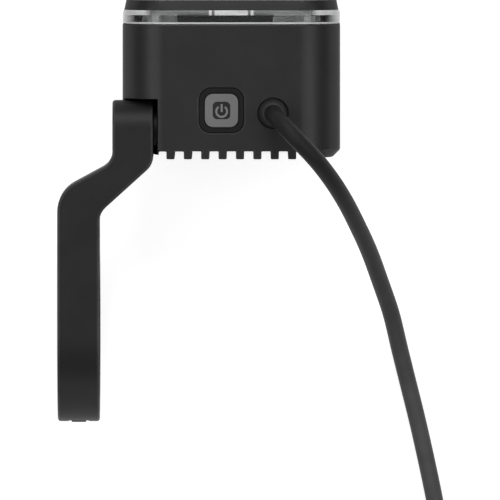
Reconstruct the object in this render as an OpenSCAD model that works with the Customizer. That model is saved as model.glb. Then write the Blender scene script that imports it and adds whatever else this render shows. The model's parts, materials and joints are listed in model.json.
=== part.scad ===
// Bicycle headlight on an offset arm with a hinged handlebar clamp, and its lead.
// Origin: middle of the handlebar in the clamp. +X across the bicycle, +Y along the beam, +Z up.

/* [Handlebar clamp] */
// Diameter of the handlebar that the clamp grips
bar_d = 31.8; // [30:0.1:36]
// Thickness of the two rubber liners
liner_t = 1.5; // [1:0.1:2.5]
// Wall of the upper clamp half, one piece with the arm
arm_wall = 5.2; // [4.8:0.1:7]
// Wall of the hinged jaw
jaw_wall = 4; // [3.4:0.1:5]
// Width of the clamp along the handlebar
clamp_w = 10.5; // [9.5:0.25:14]
// Gap between the two closed clamp halves
clamp_gap = 1; // [0.6:0.1:1.4]
// Diameter of the hinge pin
hinge_pin_d = 3; // [2:0.1:3.4]
// Radius of the jaw's hinge knuckle
knuckle_r = 3.5; // [3.2:0.1:3.6]
// Diameter of the clamp screw
clamp_screw_d = 4; // [3:0.25:4.5]
// Thickness of the jaw's screw lug
lug_t = 6.5; // [5:0.25:8]

/* [Arm] */
// Distance from the handlebar's axis forward to the tilt axis
arm_reach = 51; // [48:0.25:70]
// Sideways step from the clamp to the tilt end
arm_step = 13.6; // [8:0.1:20]
// Width of the arm at its tilt end
arm_w = 10.2; // [9.5:0.1:13]
// Thickness of the arm, whose end is a full round
arm_t = 14.2; // [13:0.1:15]
// Distance behind the tilt axis at which the inner edge starts its step
inner_step_start = 8.8; // [7:0.1:10]
// Distance behind the tilt axis at which the inner edge ends its step
inner_step_end = 21; // [18:0.25:24]
// Distance behind the tilt axis at which the outer edge starts its step
outer_step_start = 8.25; // [7:0.05:10]
// Distance behind the tilt axis at which the outer edge ends its step
outer_step_end = 15.7; // [14:0.05:18]
// Diameter of the tilt bolt
tilt_bolt_d = 5; // [4:0.25:6]
// Thickness of the friction washer beside the arm
washer_t = 1; // [0.8:0.1:1.6]

/* [Lamp housing] */
// Width of the housing
body_w = 54.25; // [52:0.25:64]
// Height of the housing
body_h = 44; // [42:0.5:50]
// Radius of the housing's four long corners
body_r = 10.5; // [9:0.25:11]
// Length of the housing from its rear face to the lens
body_len = 31.55; // [30:0.05:40]
// Thickness of the side walls
wall = 2.4; // [2.2:0.1:3]
// Width of the pocket that takes the arm's end
pocket_w = 8.75; // [8:0.25:10]
// Distance from the rear face forward to the tilt axis
pivot_inset = 5.55; // [5:0.05:6.5]
// Number of cooling fins
fin_count = 8; // [5:1:8]
// Thickness of a fin
fin_t = 2.05; // [1.6:0.05:2.4]
// Distance from one fin to the next
fin_pitch = 4.325; // [3.8:0.025:4.4]
// Length that the fins stand out
fin_len = 1.97; // [1.5:0.01:4]

/* [Front] */
// Depth of the clear edge of the lens
lens_t = 3.55; // [3.2:0.05:5]
// Depth of the bezel
bezel_t = 2.5; // [2.3:0.1:4]
// Width of the bezel beside its window
bezel_side = 7.6; // [7.2:0.1:9]
// Width of the bezel above and below its window
bezel_edge = 6.5; // [6:0.25:9]
// Diameter of the bezel screws
bezel_screw_d = 2.5; // [2:0.1:2.6]
// Distance of the bezel screws in from the housing's sides
bezel_screw_side = 4.05; // [4:0.05:4.3]
// Distance of the bezel screws in from the housing's top and bottom
bezel_screw_edge = 7.5; // [7:0.25:8]
// Width of the optic holder
optic_w = 23.8; // [22.5:0.1:25]
// Sideways place of the optic holder from the middle of the lamp
optic_x = -1.5; // [-2:0.1:2]

/* [Button] */
// Width of the dark surround
surround_w = 11.1; // [10.5:0.1:12]
// Width of the button's cap
cap_w = 8.35; // [7.8:0.05:8.8]
// Width of the icon set in the cap
icon_w = 4.2; // [3.6:0.1:5]
// Distance that the button travels
button_travel = 0.6; // [0.3:0.05:0.8]
// Sideways place of the button from the middle of the lamp
button_x = -2.45; // [-4:0.05:0]
// Distance from the rear face forward to the button's middle
button_inset = 10.2; // [9.6:0.1:11.5]

/* [Lead] */
// Diameter of the lead
cable_d = 4.2; // [3.8:0.1:4.2]
// Radius of the gland's collar
gland_r = 3; // [2.8:0.05:3.4]
// Radius of the plug's screw collar
collar_r = 5.2; // [5:0.1:6]

/* [Hidden] */
$fn = 64;

// Clearances: between pieces that stay together, between pieces that move, and what a cut runs past a face
seat_gap = 0.1;
run_gap = 0.3;
pin_gap = 0.05;
past = 1;

// Clamp
bar_r = bar_d / 2;
bed_r = bar_r + liner_t;
ring_r = bed_r + arm_wall;
jaw_r = bed_r + jaw_wall;
half_gap = clamp_gap / 2;
knuckle_proud = 0.3;
knuckle_step = 0.2;
hinge_y = -(ring_r + knuckle_proud - knuckle_r);
arm_knuckle_r = knuckle_r - knuckle_step;
knuckle_share = 0.37;
knuckle_half = knuckle_share * clamp_w / 2;
knuckle_side_gap = 0.1;
liner_stop = 0.7;
liner_edge_z = knuckle_r + liner_stop;
liner_inset = 0.25;
liner_w = clamp_w - 2 * liner_inset;
screw_out = 1.9;
screw_y = ring_r + screw_out;
screw_r = clamp_screw_d / 2;
screw_head_r = clamp_screw_d * 0.875;
screw_head_h = clamp_screw_d;
screw_tip_z = 9;
screw_seat_z = -half_gap - lug_t - pin_gap;
screw_swing = 1.1;
lug_rim = 0.7;
lug_front = screw_y + screw_head_r + lug_rim;
lug_web = 5;

// Arm
pivot_z = ring_r - arm_t / 2;
arm_bottom = ring_r - arm_t;
arm_left = arm_step - arm_w / 2;
arm_right = arm_step + arm_w / 2;
arm_front = arm_reach + arm_t / 2;
tilt_down = 25;
bolt_r = tilt_bolt_d / 2;
bolt_head_r = tilt_bolt_d * 0.85;
bolt_head_h = 4;
bolt_sink = 0.6;
head_washer_t = 0.6;
bolt_seat = arm_left + bolt_sink + bolt_head_h + head_washer_t;
insert_wall = 1.3;
insert_r = bolt_r + insert_wall;
washer_rim = 2;
inner_start_r = 4.9;
inner_end_r = 5.1;
outer_start_r = 4.4;
outer_end_r = 8.2;

// Lamp housing
pocket_wall = arm_right + pin_gap + washer_t;
pocket_skin = 2.5;
pocket_front = arm_front + run_gap;
body_left = pocket_wall - pocket_w;
lamp_x = body_left + body_w / 2;
lamp_top = ring_r;
lamp_z = lamp_top - body_h / 2;
lamp_bottom = lamp_top - body_h;
rear_y = arm_reach - pivot_inset;
front_y = rear_y + body_len;
top_wall = 2.5;
rear_wall = 2.5;
tail_len = 1.65;
tail_chamfer = 1.9;
pocket_tail_cut = 0.75;
tail_y = rear_y - tail_len;
block_left = pocket_wall + run_gap;
block_right = 2 * lamp_x - block_left;
ledge = 2.5;
front_depth = 12.2;
ledge_y = front_y - front_depth;
cavity_left = pocket_wall + pocket_skin;
cavity_right = lamp_x + body_w / 2 - wall - ledge;
cavity_r = 6;
boss_r = 2.6;
boss_wall = 2;
insert_boss_r = insert_r + boss_wall;
front_cavity_w = body_w - 2 * wall;
front_cavity_h = body_h - 2 * wall;

// Front stack, from the ledge forward
spreader_t = 3;
pad_t = 0.5;
board_t = 1.6;
spreader_front = ledge_y + spreader_t;
pad_front = spreader_front + pad_t;
led_board_front = pad_front + board_t;
led_board_side = 1.6;
led_board_edge = 4.4;
led_board_w = optic_w + 2 * led_board_side;
led_board_h = optic_w + 2 * led_board_edge;
pad_margin = 0.5;
led_w = 3.4;
led_t = 0.6;
dome_r = 1.2;
optic_wall = 0.9;
optic_plate = optic_w - 2 * optic_wall;
optic_plate_t = 1.2;
optic_pitch = optic_plate / 2;
optic_r = optic_pitch / 2 - run_gap;
optic_rear_r = 2.4;
optic_rear = led_board_front + led_t + run_gap;
lens_front = front_y + lens_t;
pane_t = 1;
pane_back = lens_front - pane_t;
holder_front = pane_back - 0.2;
lens_wall = 3.6;
window_w = body_w - 2 * bezel_side;
window_h = body_h - 2 * bezel_edge;
window_r = 6;
window_proud = 2.1;
gasket_inset = 0.7;
gasket_w = 1;
gasket_t = 0.8;
mask_t = 1.2;
mask_front = front_y - 0.6;
mask_leg_r = 1.5;
mask_leg_inset = 3;
mask_leg_gap = 0.7;
mask_leg_x = led_board_w / 2 + abs(optic_x) + mask_leg_r + mask_leg_gap;
mask_leg_z = front_cavity_h / 2 - mask_leg_inset;
mask_legs = [for (sx = [-1, 1], sz = [-1, 1]) [sx * mask_leg_x, sz * mask_leg_z]];
bezel_screw_w = body_w - 2 * bezel_screw_side;
bezel_screw_h = body_h - 2 * bezel_screw_edge;
panel_front = pane_back - 0.5;
panel_half = bezel_screw_w / 2 - 0.4;
panel_h = optic_w - 0.8;
bezel_rear_inset = 0.43;
bezel_taper = 0.5;
bezel_front = lens_front + bezel_t;
bezel_screw_r = bezel_screw_d / 2;
bezel_head_r = 1.9;
bezel_head_t = 1.3;
bezel_screw_grip = 8.2;
bezel_screw_tip = front_y - bezel_screw_grip;
bezel_screws_at = [for (sx = [-1, 1], sz = [-1, 1]) [sx * bezel_screw_w / 2, sz * bezel_screw_h / 2]];
small_screw_r = 1;
small_head_r = 1.9;
small_head_t = 1.2;
small_grip = 4;
spreader_screw_inset = 4.6;
spreader_screw_drop = 4.9;
spreader_screw_x = front_cavity_w / 2 - spreader_screw_inset;
spreader_screw_z = bezel_screw_h / 2 - spreader_screw_drop;
spreader_screws_at = [[-spreader_screw_x, spreader_screw_z], [spreader_screw_x, spreader_screw_z]];
led_screw_gap = 0.4;
led_screw_out = optic_w / 2 + small_head_r + led_screw_gap;
led_screws_at = [[optic_x, -led_screw_out], [optic_x, led_screw_out]];

// Boards inside
driver_z = lamp_z - 0.6;
guide_w = 1.5;
guide_t = 1.2;
board_gap = 0.6;
driver_rear = rear_y + rear_wall + board_gap;
driver_front = ledge_y - 2 * board_gap;
wire_r = 0.6;
wire_hole_r = 1.2;
wire_lap = 2.5;
led_wire_z = driver_z + board_t + wire_r;
led_wire_x = 1.4;
led_wires_at = [[-led_wire_x, led_wire_z - lamp_z], [led_wire_x, led_wire_z - lamp_z]];
choke_r = 4;
choke_h = 5;
choke_at = [-4, 5.8];
chip_size = [4, 3.4, 1.6];
chip_at = [12, 9.5];
diode_size = [2.4, 2.4, 1.2];
diode_at = [2, 1.5];
capacitor_r = 2.2;
capacitor_h = 6;
capacitor_pitch = 6;
capacitor_at = [-11.5, 4];

// Button
button_at = [lamp_x + button_x, rear_y + button_inset];
switch_board_w = 13;
insert_room = 2.425;
insert_len = button_at.x - switch_board_w / 2 - insert_room - pocket_wall;
surround_r = 3;
surround_drop = 0.2;
surround_seat = lamp_top - 1.4;
cap_r = 2.1;
cap_gap = 0.15;
cap_proud = 0.3;
cap_skirt_w = cap_w + 0.85;
cap_skirt_t = 0.6;
cap_skirt_top = surround_seat - run_gap;
shaft_w = cap_skirt_w + 0.4;
icon_r = 1;
icon_t = 0.7;
stem_r = 1.5;
switch_drop = 8.4;
switch_board_top = lamp_top - switch_drop;
switch_board_t = 1.2;
switch_post_r = 1.7;
switch_post_at = 4.8;
switch_w = 6;
switch_h = 3.5;
plunger_r = 1.6;
plunger_top = switch_board_top + switch_h + 1;
plunger_bottom = plunger_top - 1.7;

// Gland and lead
gland_x = 10.375;
gland_inset = 9.5;
gland_at = [lamp_x + gland_x, rear_y + gland_inset];
gland_counter_r = gland_r + 0.6;
gland_counter_t = 0.6;
gland_neck_r = gland_r - 0.1;
gland_h = 2.4;
gland_lip_r = cable_d / 2 + 0.45;
gland_tail = 1.2;
nut_r = 5;
nut_t = 2.5;
gland_bottom = lamp_top - top_wall - nut_t - gland_tail;
cable_r = cable_d / 2;
cable_sides = 10;
floor_z = min(lamp_bottom, -jaw_r);
tie_t = 0.6;
coil_x = 64;
coil_y = -74;
coil_out_r = 27.5;
coil_pitch = 4.8;
coil_layer_turns = 1.875;
coil_climb_turns = 0.5;
coil_steps = 24;
coil_sides = 6;
coil_low_z = floor_z + tie_t + seat_gap + cable_r;
coil_high_z = coil_low_z + coil_pitch;
coil_in_r = coil_out_r - coil_pitch * coil_layer_turns;
coil_turns = 2 * coil_layer_turns + coil_climb_turns;
lead_in = 4.2;

// Route of the free lead: out of the gland, over the rear edge, down to the table and out to the coil
route_points = [
    [48.5, 54.95, 16.4], [48.5, 54.95, 22], [48.5, 54.95, 27], [49.4, 54.1, 31.4], [51.6, 51.8, 34.4],
    [54.9, 48.3, 35.6], [59, 43.9, 33.9], [63.1, 38.5, 28.8], [66.5, 32.9, 21.8], [69.2, 27.5, 14.4],
    [72.5, 20.1, 4.6], [75.3, 12.3, -4.4], [78.2, 3.6, -11.6], [80.3, -5.2, -16.4], [82.4, -13.7, -18.7],
    [84.4, -21.7, -19.3], [86.6, -31.3, -19.3], [89, -42.7, -19.3], [90.4, -50.5, -19.2], [91.2, -58, -18.8]
];

// The route's start follows the gland, and from its fifteenth point on it follows the table
route_gland = [48.5, 54.95, 22.6];
route_floor = -21.4;
route_shift = [gland_at.x, gland_at.y, lamp_top] - route_gland;
table_shift = [0, 0, floor_z - route_floor];
function table_share(i) = max(0, min(1, (i - 2) / 12));
cable_route = concat(
    [for (i = [0:len(route_points) - 1])
        route_points[i] + (1 - table_share(i)) * route_shift + table_share(i) * table_shift],
    [[coil_x + coil_out_r, -65, coil_low_z], [coil_x + coil_out_r, coil_y + lead_in, coil_low_z]]);

// Route of the short tail from the coil to the plug
plug_z = floor_z + collar_r;
tail_end_x = 36;
tail_y_line = coil_y - coil_out_r;
tail_route = [
    [coil_x - lead_in, tail_y_line, coil_high_z], [55, tail_y_line, coil_high_z],
    [48, tail_y_line, (coil_high_z + plug_z) / 2], [42, tail_y_line, plug_z],
    [tail_end_x, tail_y_line, plug_z]
];

// Plug, along -X from the end of the tail
relief_len = 9;
relief_r = 2.9;
plug_r = 4.4;
plug_len = 15;
plug_body_x = tail_end_x - relief_len;
plug_front_x = plug_body_x - plug_len;
nose_r = 3.3;
nose_len = 8;
collar_len = 9;
collar_wall = 0.9;
collar_lap = 3;
contact_r = 0.7;
contact_pitch = 2.6;

// Vectors and outlines
function unit(v) = v / norm(v);
function turn(a) = a > 180 ? a - 360 : a < -180 ? a + 360 : a;

// Points of the round that replaces corner b of the outline a, b, c
function rounded_corner(a, b, c, r, steps = 8) =
    let (u = unit(a - b), v = unit(c - b), half = acos(u * v) / 2)
    let (middle = b + unit(u + v) * r / sin(half), from = b + u * r / tan(half) - middle)
    let (to = b + v * r / tan(half) - middle, start = atan2(from.y, from.x))
    let (sweep = turn(atan2(to.y, to.x) - start))
    [for (i = [0:steps]) middle + r * [cos(start + sweep * i / steps), sin(start + sweep * i / steps)]];

// Tubes along a route
function route_way(p, i) = unit(p[min(i + 1, len(p) - 1)] - p[max(i - 1, 0)]);
function square_to(v, way) = unit(v - way * (v * way));
function route_sides(p, first) =
    [for (i = 0, s = square_to(first, route_way(p, 0)); i < len(p);
        i = i + 1, s = i < len(p) ? square_to(s, route_way(p, i)) : s) s];
function tube_points(p, r, sides, first) =
    let (side = route_sides(p, first))
    [for (i = [0:len(p) - 1], k = [0:sides - 1])
        let (other = cross(route_way(p, i), side[i]), a = 360 * k / sides)
        p[i] + r * (cos(a) * side[i] + sin(a) * other)];
function ring_quad(i, k, sides) =
    let (n = (k + 1) % sides)
    [i * sides + k, (i + 1) * sides + k, (i + 1) * sides + n, i * sides + n];
function tube_faces(count, sides) = concat(
    [for (i = [0:count - 2], k = [0:sides - 1])
        let (q = ring_quad(i, k, sides))
        [q[0], q[1], q[2]]],
    [for (i = [0:count - 2], k = [0:sides - 1])
        let (q = ring_quad(i, k, sides))
        [q[0], q[2], q[3]]],
    [[for (k = [0:sides - 1]) k]],
    [[for (k = [0:sides - 1]) count * sides - 1 - k]]);

// The coil spirals in on the table, climbs a layer while it reverses, and spirals out again on top
function climb_share(t) = max(0, min(1, (t - coil_layer_turns) / coil_climb_turns));
function coil_radius(t) =
    t <= coil_layer_turns ? coil_out_r - coil_pitch * t
    : t >= coil_layer_turns + coil_climb_turns ? coil_out_r - coil_pitch * (coil_turns - t)
    : coil_in_r - coil_pitch * coil_climb_turns * climb_share(t) * (1 - climb_share(t));
function coil_point(t) =
    let (r = coil_radius(t), a = -360 * t)
    [coil_x + r * cos(a), coil_y + r * sin(a),
        coil_low_z + (coil_high_z - coil_low_z) * (1 - cos(180 * climb_share(t))) / 2];
coil_count = round(coil_turns * coil_steps);
coil_turn_points = [for (i = [0:coil_count]) coil_point(coil_turns * i / coil_count)];
coil_points = concat(
    [coil_turn_points[0] + [0, lead_in, 0]],
    coil_turn_points,
    [coil_turn_points[coil_count] - [lead_in, 0, 0]]);
coil_apart = min([for (i = [0:coil_count], j = [i + coil_steps / 2:1:coil_count])
    norm(coil_turn_points[i] - coil_turn_points[j])]);
echo(least_gap_in_coil = coil_apart - cable_d);

// Shared shapes
module rounded_rect(w, h, r) {
    square([w - 2 * r, h], center = true);
    square([w, h - 2 * r], center = true);
    for (sx = [-1, 1], sy = [-1, 1])
        translate([sx * (w / 2 - r), sy * (h / 2 - r)])
            circle(r);
}

// Extrudes a flat shape drawn in X and minus Z along Y
module along_y(start, length)
    translate([0, start, 0])
        rotate([-90, 0, 0])
            linear_extrude(length)
                children();

// Extrudes a flat shape drawn in Y and Z along X
module along_x(start, length)
    translate([start, 0, 0])
        rotate([90, 0, 90])
            linear_extrude(length)
                children();

module in_lamp()
    translate([lamp_x, 0, lamp_z])
        children();

// Puts a flat shape at [x, z] of the lamp's front view
module at_front(place)
    translate([place.x, -place.y])
        children();

module rod_x(r, start, length, y, z)
    translate([start, y, z])
        rotate([0, 90, 0])
            cylinder(r = r, h = length);

module lamp_plate(start, length, w, h, r)
    in_lamp()
        along_y(start, length)
            rounded_rect(w, h, r);

// Plate with rounded corners whose far end is smaller by the inset all round
module tapered_plate(w, h, r, length, inset) {
    for (sx = [-1, 1], sz = [-1, 1])
        translate([sx * (w / 2 - r), 0, sz * (h / 2 - r)])
            rotate([-90, 0, 0])
                cylinder(r1 = r, r2 = r - inset, h = length);
    translate([0, 0, -(h / 2 - r)])
        linear_extrude(h - 2 * r)
            polygon([[-w / 2, 0], [w / 2, 0], [w / 2 - inset, length], [inset - w / 2, length]]);
    along_x(-(w / 2 - r), w - 2 * r)
        polygon([[0, -h / 2], [length, inset - h / 2], [length, h / 2 - inset], [0, h / 2]]);
}

// Screw along -Y with its head's front face at the given place
module screw_y_down(r, head_r, head_t, front, tip) {
    along_y(front - head_t, head_t)
        difference() {
            circle(head_r);
            circle(head_r * 0.5, $fn = 6);
        }
    along_y(front - head_t - head_t / 4, head_t / 4)
        circle(head_r);
    along_y(tip, front - head_t - head_t / 4 - tip)
        circle(r);
}

// Lamp housing
module tail_blocks()
    intersection() {
        translate([lamp_x, tail_y + tail_chamfer, lamp_z])
            rotate([0, 0, 180])
                tapered_plate(body_w, body_h, body_r, tail_chamfer, tail_chamfer);
        union() {
            translate([block_left - body_w, tail_y + pocket_tail_cut, lamp_bottom])
                cube([body_w, tail_chamfer + past, body_h]);
            translate([block_right, tail_y - past, lamp_bottom])
                cube([body_w, tail_chamfer + 2 * past, body_h]);
        }
    }

module rear_middle()
    in_lamp()
        along_y(rear_y, tail_y + tail_chamfer - rear_y)
            intersection() {
                rounded_rect(body_w, body_h, body_r);
                square([block_right - block_left, body_h + past], center = true);
            }

module fins()
    for (i = [0:fin_count - 1])
        translate([lamp_x + (i - (fin_count - 1) / 2) * fin_pitch - fin_t / 2, 0, 0])
            translate([0, rear_y - fin_len, lamp_bottom])
                cube([fin_t, fin_len + seat_gap, body_h]);

// Space of the arm's round end and of its swing, seen from the side
module arm_pocket()
    along_x(body_left - past, pocket_w + past) {
        translate([arm_reach, pivot_z])
            circle(arm_t / 2 + run_gap);
        translate([tail_y - past, pivot_z])
            square([pocket_front - tail_y + past, lamp_top - pivot_z + past]);
        translate([arm_reach, pivot_z])
            rotate(tilt_down)
                translate([-2 * arm_t, -arm_t / 2 - run_gap])
                    square([2 * arm_t, 2 * arm_t]);
    }

module rear_cavity()
    translate([(cavity_left + cavity_right) / 2, 0, lamp_z])
        along_y(rear_y + rear_wall, ledge_y - rear_y - rear_wall + past)
            rounded_rect(cavity_right - cavity_left, body_h - 2 * top_wall, cavity_r);

module board_guides()
    for (x = [cavity_left - seat_gap, cavity_right - guide_w], z = [driver_z - guide_t - seat_gap,
        driver_z + board_t + seat_gap])
        translate([x, rear_y + rear_wall - seat_gap, z])
            cube([guide_w + seat_gap, driver_front - rear_y - rear_wall, guide_t]);

module switch_posts(r, bottom)
    for (s = [-1, 1])
        translate([button_at.x + s * switch_post_at, button_at.y + s * switch_post_at, bottom])
            cylinder(r = r, h = lamp_top - top_wall + seat_gap - bottom);

module square_shaft(w, r, bottom, top)
    translate([button_at.x, button_at.y, bottom])
        linear_extrude(top - bottom)
            rounded_rect(w, w, r);

module gasket_ring(start, length)
    in_lamp()
        along_y(start, length)
            difference() {
                rounded_rect(body_w - 2 * gasket_inset, body_h - 2 * gasket_inset, body_r - gasket_inset);
                rounded_rect(body_w - 2 * (gasket_inset + gasket_w), body_h - 2 * (gasket_inset + gasket_w),
                    body_r - gasket_inset - gasket_w);
            }

module housing()
    color([0.2, 0.2, 0.2])
        difference() {
            union() {
                difference() {
                    union() {
                        lamp_plate(tail_y + tail_chamfer, front_y - tail_y - tail_chamfer,
                            body_w, body_h, body_r);
                        rear_middle();
                        tail_blocks();
                        fins();
                    }
                    rear_cavity();
                    lamp_plate(ledge_y, front_y - ledge_y + past,
                        front_cavity_w, front_cavity_h, body_r - wall);
                }
                board_guides();
                switch_posts(switch_post_r, switch_board_top);
                rod_x(insert_boss_r, pocket_wall + seat_gap, insert_len + pocket_skin / 2,
                    arm_reach, pivot_z);
                in_lamp()
                    along_y(ledge_y - seat_gap, front_y - ledge_y + seat_gap)
                        for (place = bezel_screws_at)
                            at_front(place)
                                circle(boss_r);
                in_lamp()
                    along_y(ledge_y - 2 * small_grip, 2 * small_grip)
                        at_front(spreader_screws_at[1])
                            circle(boss_r);
            }
            arm_pocket();
            rod_x(insert_r, pocket_wall - past, insert_len + past, arm_reach, pivot_z);
            square_shaft(surround_w + 2 * seat_gap, surround_r + seat_gap, surround_seat, lamp_top + past);
            square_shaft(shaft_w, cap_r + (shaft_w - cap_w) / 2,
                lamp_top - top_wall - past, surround_seat + seat_gap);
            switch_posts(small_screw_r, switch_board_top - past);
            translate([gland_at.x, gland_at.y, lamp_top - gland_counter_t])
                cylinder(r = gland_counter_r, h = gland_counter_t + past);
            translate([gland_at.x, gland_at.y, lamp_top - top_wall - past])
                cylinder(r = gland_neck_r + seat_gap, h = top_wall + past);
            gasket_ring(front_y - gasket_t, gasket_t + past);
            in_lamp()
                along_y(bezel_screw_tip - past, front_y - bezel_screw_tip + 2 * past)
                    for (place = bezel_screws_at)
                        at_front(place)
                            circle(bezel_screw_r);
            in_lamp()
                along_y(ledge_y - small_grip, small_grip + past)
                    for (place = spreader_screws_at)
                        at_front(place)
                            circle(small_screw_r);
        }

// Front
module front_lens()
    color([0.85, 0.9, 0.92, 0.4])
        difference() {
            union() {
                difference() {
                    lamp_plate(front_y, lens_t, body_w, body_h, body_r);
                    lamp_plate(front_y - past, lens_t - pane_t + past,
                        body_w - 2 * lens_wall, body_h - 2 * lens_wall, body_r - lens_wall);
                }
                lamp_plate(lens_front - seat_gap, window_proud + seat_gap, window_w - 2 * seat_gap,
                    window_h - 2 * seat_gap, window_r - seat_gap);
                in_lamp()
                    along_y(front_y, lens_t)
                        for (place = bezel_screws_at)
                            at_front(place)
                                circle(boss_r);
            }
            in_lamp()
                along_y(front_y - past, lens_t + 2 * past)
                    for (place = bezel_screws_at)
                        at_front(place)
                            circle(bezel_screw_r + seat_gap);
        }

module lens_gasket()
    color([0.1, 0.1, 0.1])
        gasket_ring(front_y - gasket_t, gasket_t);

module bezel()
    color([0.22, 0.22, 0.22])
        difference() {
            translate([lamp_x, lens_front, lamp_z])
                tapered_plate(body_w - 2 * bezel_rear_inset, body_h - 2 * bezel_rear_inset,
                    body_r - bezel_rear_inset, bezel_t, bezel_taper);
            lamp_plate(lens_front - past, bezel_t + 2 * past, window_w, window_h, window_r);
            in_lamp() {
                along_y(lens_front - past, bezel_t + 2 * past)
                    for (place = bezel_screws_at)
                        at_front(place)
                            circle(bezel_screw_r + seat_gap);
                along_y(bezel_front - bezel_head_t * 1.25 - seat_gap, bezel_t)
                    for (place = bezel_screws_at)
                        at_front(place)
                            circle(bezel_head_r + seat_gap);
            }
        }

module bezel_screws()
    color([0.15, 0.15, 0.15])
        for (place = bezel_screws_at)
            translate([lamp_x + place.x, 0, lamp_z + place.y])
                screw_y_down(bezel_screw_r, bezel_head_r, bezel_head_t,
                    bezel_front - seat_gap, bezel_screw_tip);

// Grey panels of the mask beside the optic, seen through the clear edge of the lens
module side_panels()
    in_lamp()
        along_y(mask_front - mask_t, panel_front - mask_front + mask_t)
            difference() {
                square([2 * panel_half, panel_h], center = true);
                translate([optic_x, 0])
                    square([optic_w + 2 * seat_gap, panel_h + past], center = true);
            }

module front_mask()
    color([0.3, 0.3, 0.3])
        difference() {
            union() {
                lamp_plate(mask_front - mask_t, mask_t,
                    front_cavity_w - 2 * run_gap, front_cavity_h - 2 * run_gap, body_r - wall - run_gap);
                in_lamp()
                    along_y(spreader_front, mask_front - spreader_front)
                        for (place = mask_legs)
                            at_front(place)
                                circle(mask_leg_r);
                side_panels();
            }
            in_lamp()
                along_y(mask_front - mask_t - past, mask_t + 2 * past) {
                    translate([optic_x, 0])
                        square([optic_w + 2 * seat_gap, optic_w + 2 * seat_gap], center = true);
                    for (place = bezel_screws_at)
                        at_front(place)
                            circle(boss_r + run_gap);
                }
        }

module optic_places()
    for (sx = [-1, 1], sz = [-1, 1])
        translate([optic_x + sx * optic_pitch / 2, sz * optic_pitch / 2])
            children();

module optic_holder()
    color([0.12, 0.12, 0.12])
        in_lamp()
            difference() {
                along_y(led_board_front, holder_front - led_board_front)
                    translate([optic_x, 0])
                        square([optic_w, optic_w], center = true);
                along_y(led_board_front - past, holder_front - led_board_front)
                    optic_places()
                        circle(optic_r + seat_gap);
                along_y(holder_front - optic_plate_t, optic_plate_t + past)
                    translate([optic_x, 0])
                        square([optic_plate + 2 * seat_gap, optic_plate + 2 * seat_gap], center = true);
            }

module collimator()
    color([0.9, 0.95, 0.97, 0.5])
        in_lamp() {
            along_y(holder_front - optic_plate_t, optic_plate_t)
                translate([optic_x, 0])
                    square([optic_plate, optic_plate], center = true);
            for (sx = [-1, 1], sz = [-1, 1])
                translate([optic_x + sx * optic_pitch / 2, optic_rear, sz * optic_pitch / 2])
                    rotate([-90, 0, 0])
                        difference() {
                            cylinder(r1 = optic_rear_r, r2 = optic_r,
                                h = holder_front - optic_plate_t - optic_rear);
                            sphere(r = dome_r + run_gap);
                        }
        }

module led_emitters()
    color([0.95, 0.9, 0.6])
        in_lamp()
            for (sx = [-1, 1], sz = [-1, 1])
                translate([optic_x + sx * optic_pitch / 2, led_board_front, sz * optic_pitch / 2])
                    rotate([-90, 0, 0]) {
                        translate([-led_w / 2, -led_w / 2, 0])
                            cube([led_w, led_w, led_t]);
                        intersection() {
                            translate([0, 0, led_t])
                                sphere(r = dome_r);
                            translate([-led_w / 2, -led_w / 2, led_t])
                                cube(led_w);
                        }
                    }

module led_board()
    color([0.85, 0.85, 0.82])
        in_lamp()
            along_y(pad_front, board_t)
                difference() {
                    translate([optic_x, 0])
                        square([led_board_w, led_board_h], center = true);
                    for (place = led_screws_at)
                        at_front(place)
                            circle(small_screw_r + seat_gap);
                }

module led_board_screws()
    color([0.7, 0.7, 0.72])
        for (place = led_screws_at)
            translate([lamp_x + place.x, 0, lamp_z + place.y])
                screw_y_down(small_screw_r, small_head_r, small_head_t, led_board_front + small_head_t * 1.25,
                    ledge_y + seat_gap);

module thermal_pad()
    color([0.75, 0.6, 0.65])
        in_lamp()
            along_y(spreader_front, pad_t)
                difference() {
                    translate([optic_x, 0])
                        square([led_board_w - 2 * pad_margin, led_board_h - 2 * pad_margin], center = true);
                    for (place = led_screws_at)
                        at_front(place)
                            circle(small_screw_r + seat_gap);
                    for (place = led_wires_at)
                        at_front(place)
                            circle(wire_hole_r);
                }

module heat_spreader()
    color([0.75, 0.76, 0.78])
        in_lamp()
            along_y(ledge_y, spreader_t)
                difference() {
                    rounded_rect(front_cavity_w - 2 * seat_gap, front_cavity_h - 2 * seat_gap,
                        body_r - wall - seat_gap);
                    for (place = bezel_screws_at)
                        at_front(place)
                            circle(boss_r + seat_gap);
                    for (place = spreader_screws_at)
                        at_front(place)
                            circle(small_screw_r + seat_gap);
                    for (place = led_screws_at)
                        at_front(place)
                            circle(small_screw_r);
                    for (place = led_wires_at)
                        at_front(place)
                            circle(wire_hole_r);
                }

module spreader_screws()
    color([0.7, 0.7, 0.72])
        for (place = spreader_screws_at)
            translate([lamp_x + place.x, 0, lamp_z + place.y])
                screw_y_down(small_screw_r, small_head_r, small_head_t, spreader_front + small_head_t * 1.25,
                    ledge_y - small_grip + seat_gap);

// Boards
module driver_board()
    color([0.1, 0.35, 0.2])
        translate([cavity_left + seat_gap, driver_rear, driver_z])
            cube([cavity_right - cavity_left - 2 * seat_gap, driver_front - driver_rear, board_t]);

module driver_parts() {
    top = driver_z + board_t;
    middle = (cavity_left + cavity_right) / 2;
    color([0.2, 0.2, 0.22]) {
        translate([middle + choke_at.x, driver_rear + choke_at.y, top])
            cylinder(r = choke_r, h = choke_h);
        translate([middle + chip_at.x, driver_rear + chip_at.y, top])
            cube(chip_size);
        translate([middle + diode_at.x, driver_rear + diode_at.y, top])
            cube(diode_size);
        for (i = [0:1])
            translate([middle + capacitor_at.x, driver_rear + capacitor_at.y + capacitor_pitch * i, top])
                cylinder(r = capacitor_r, h = capacitor_h);
    }
}

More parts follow.
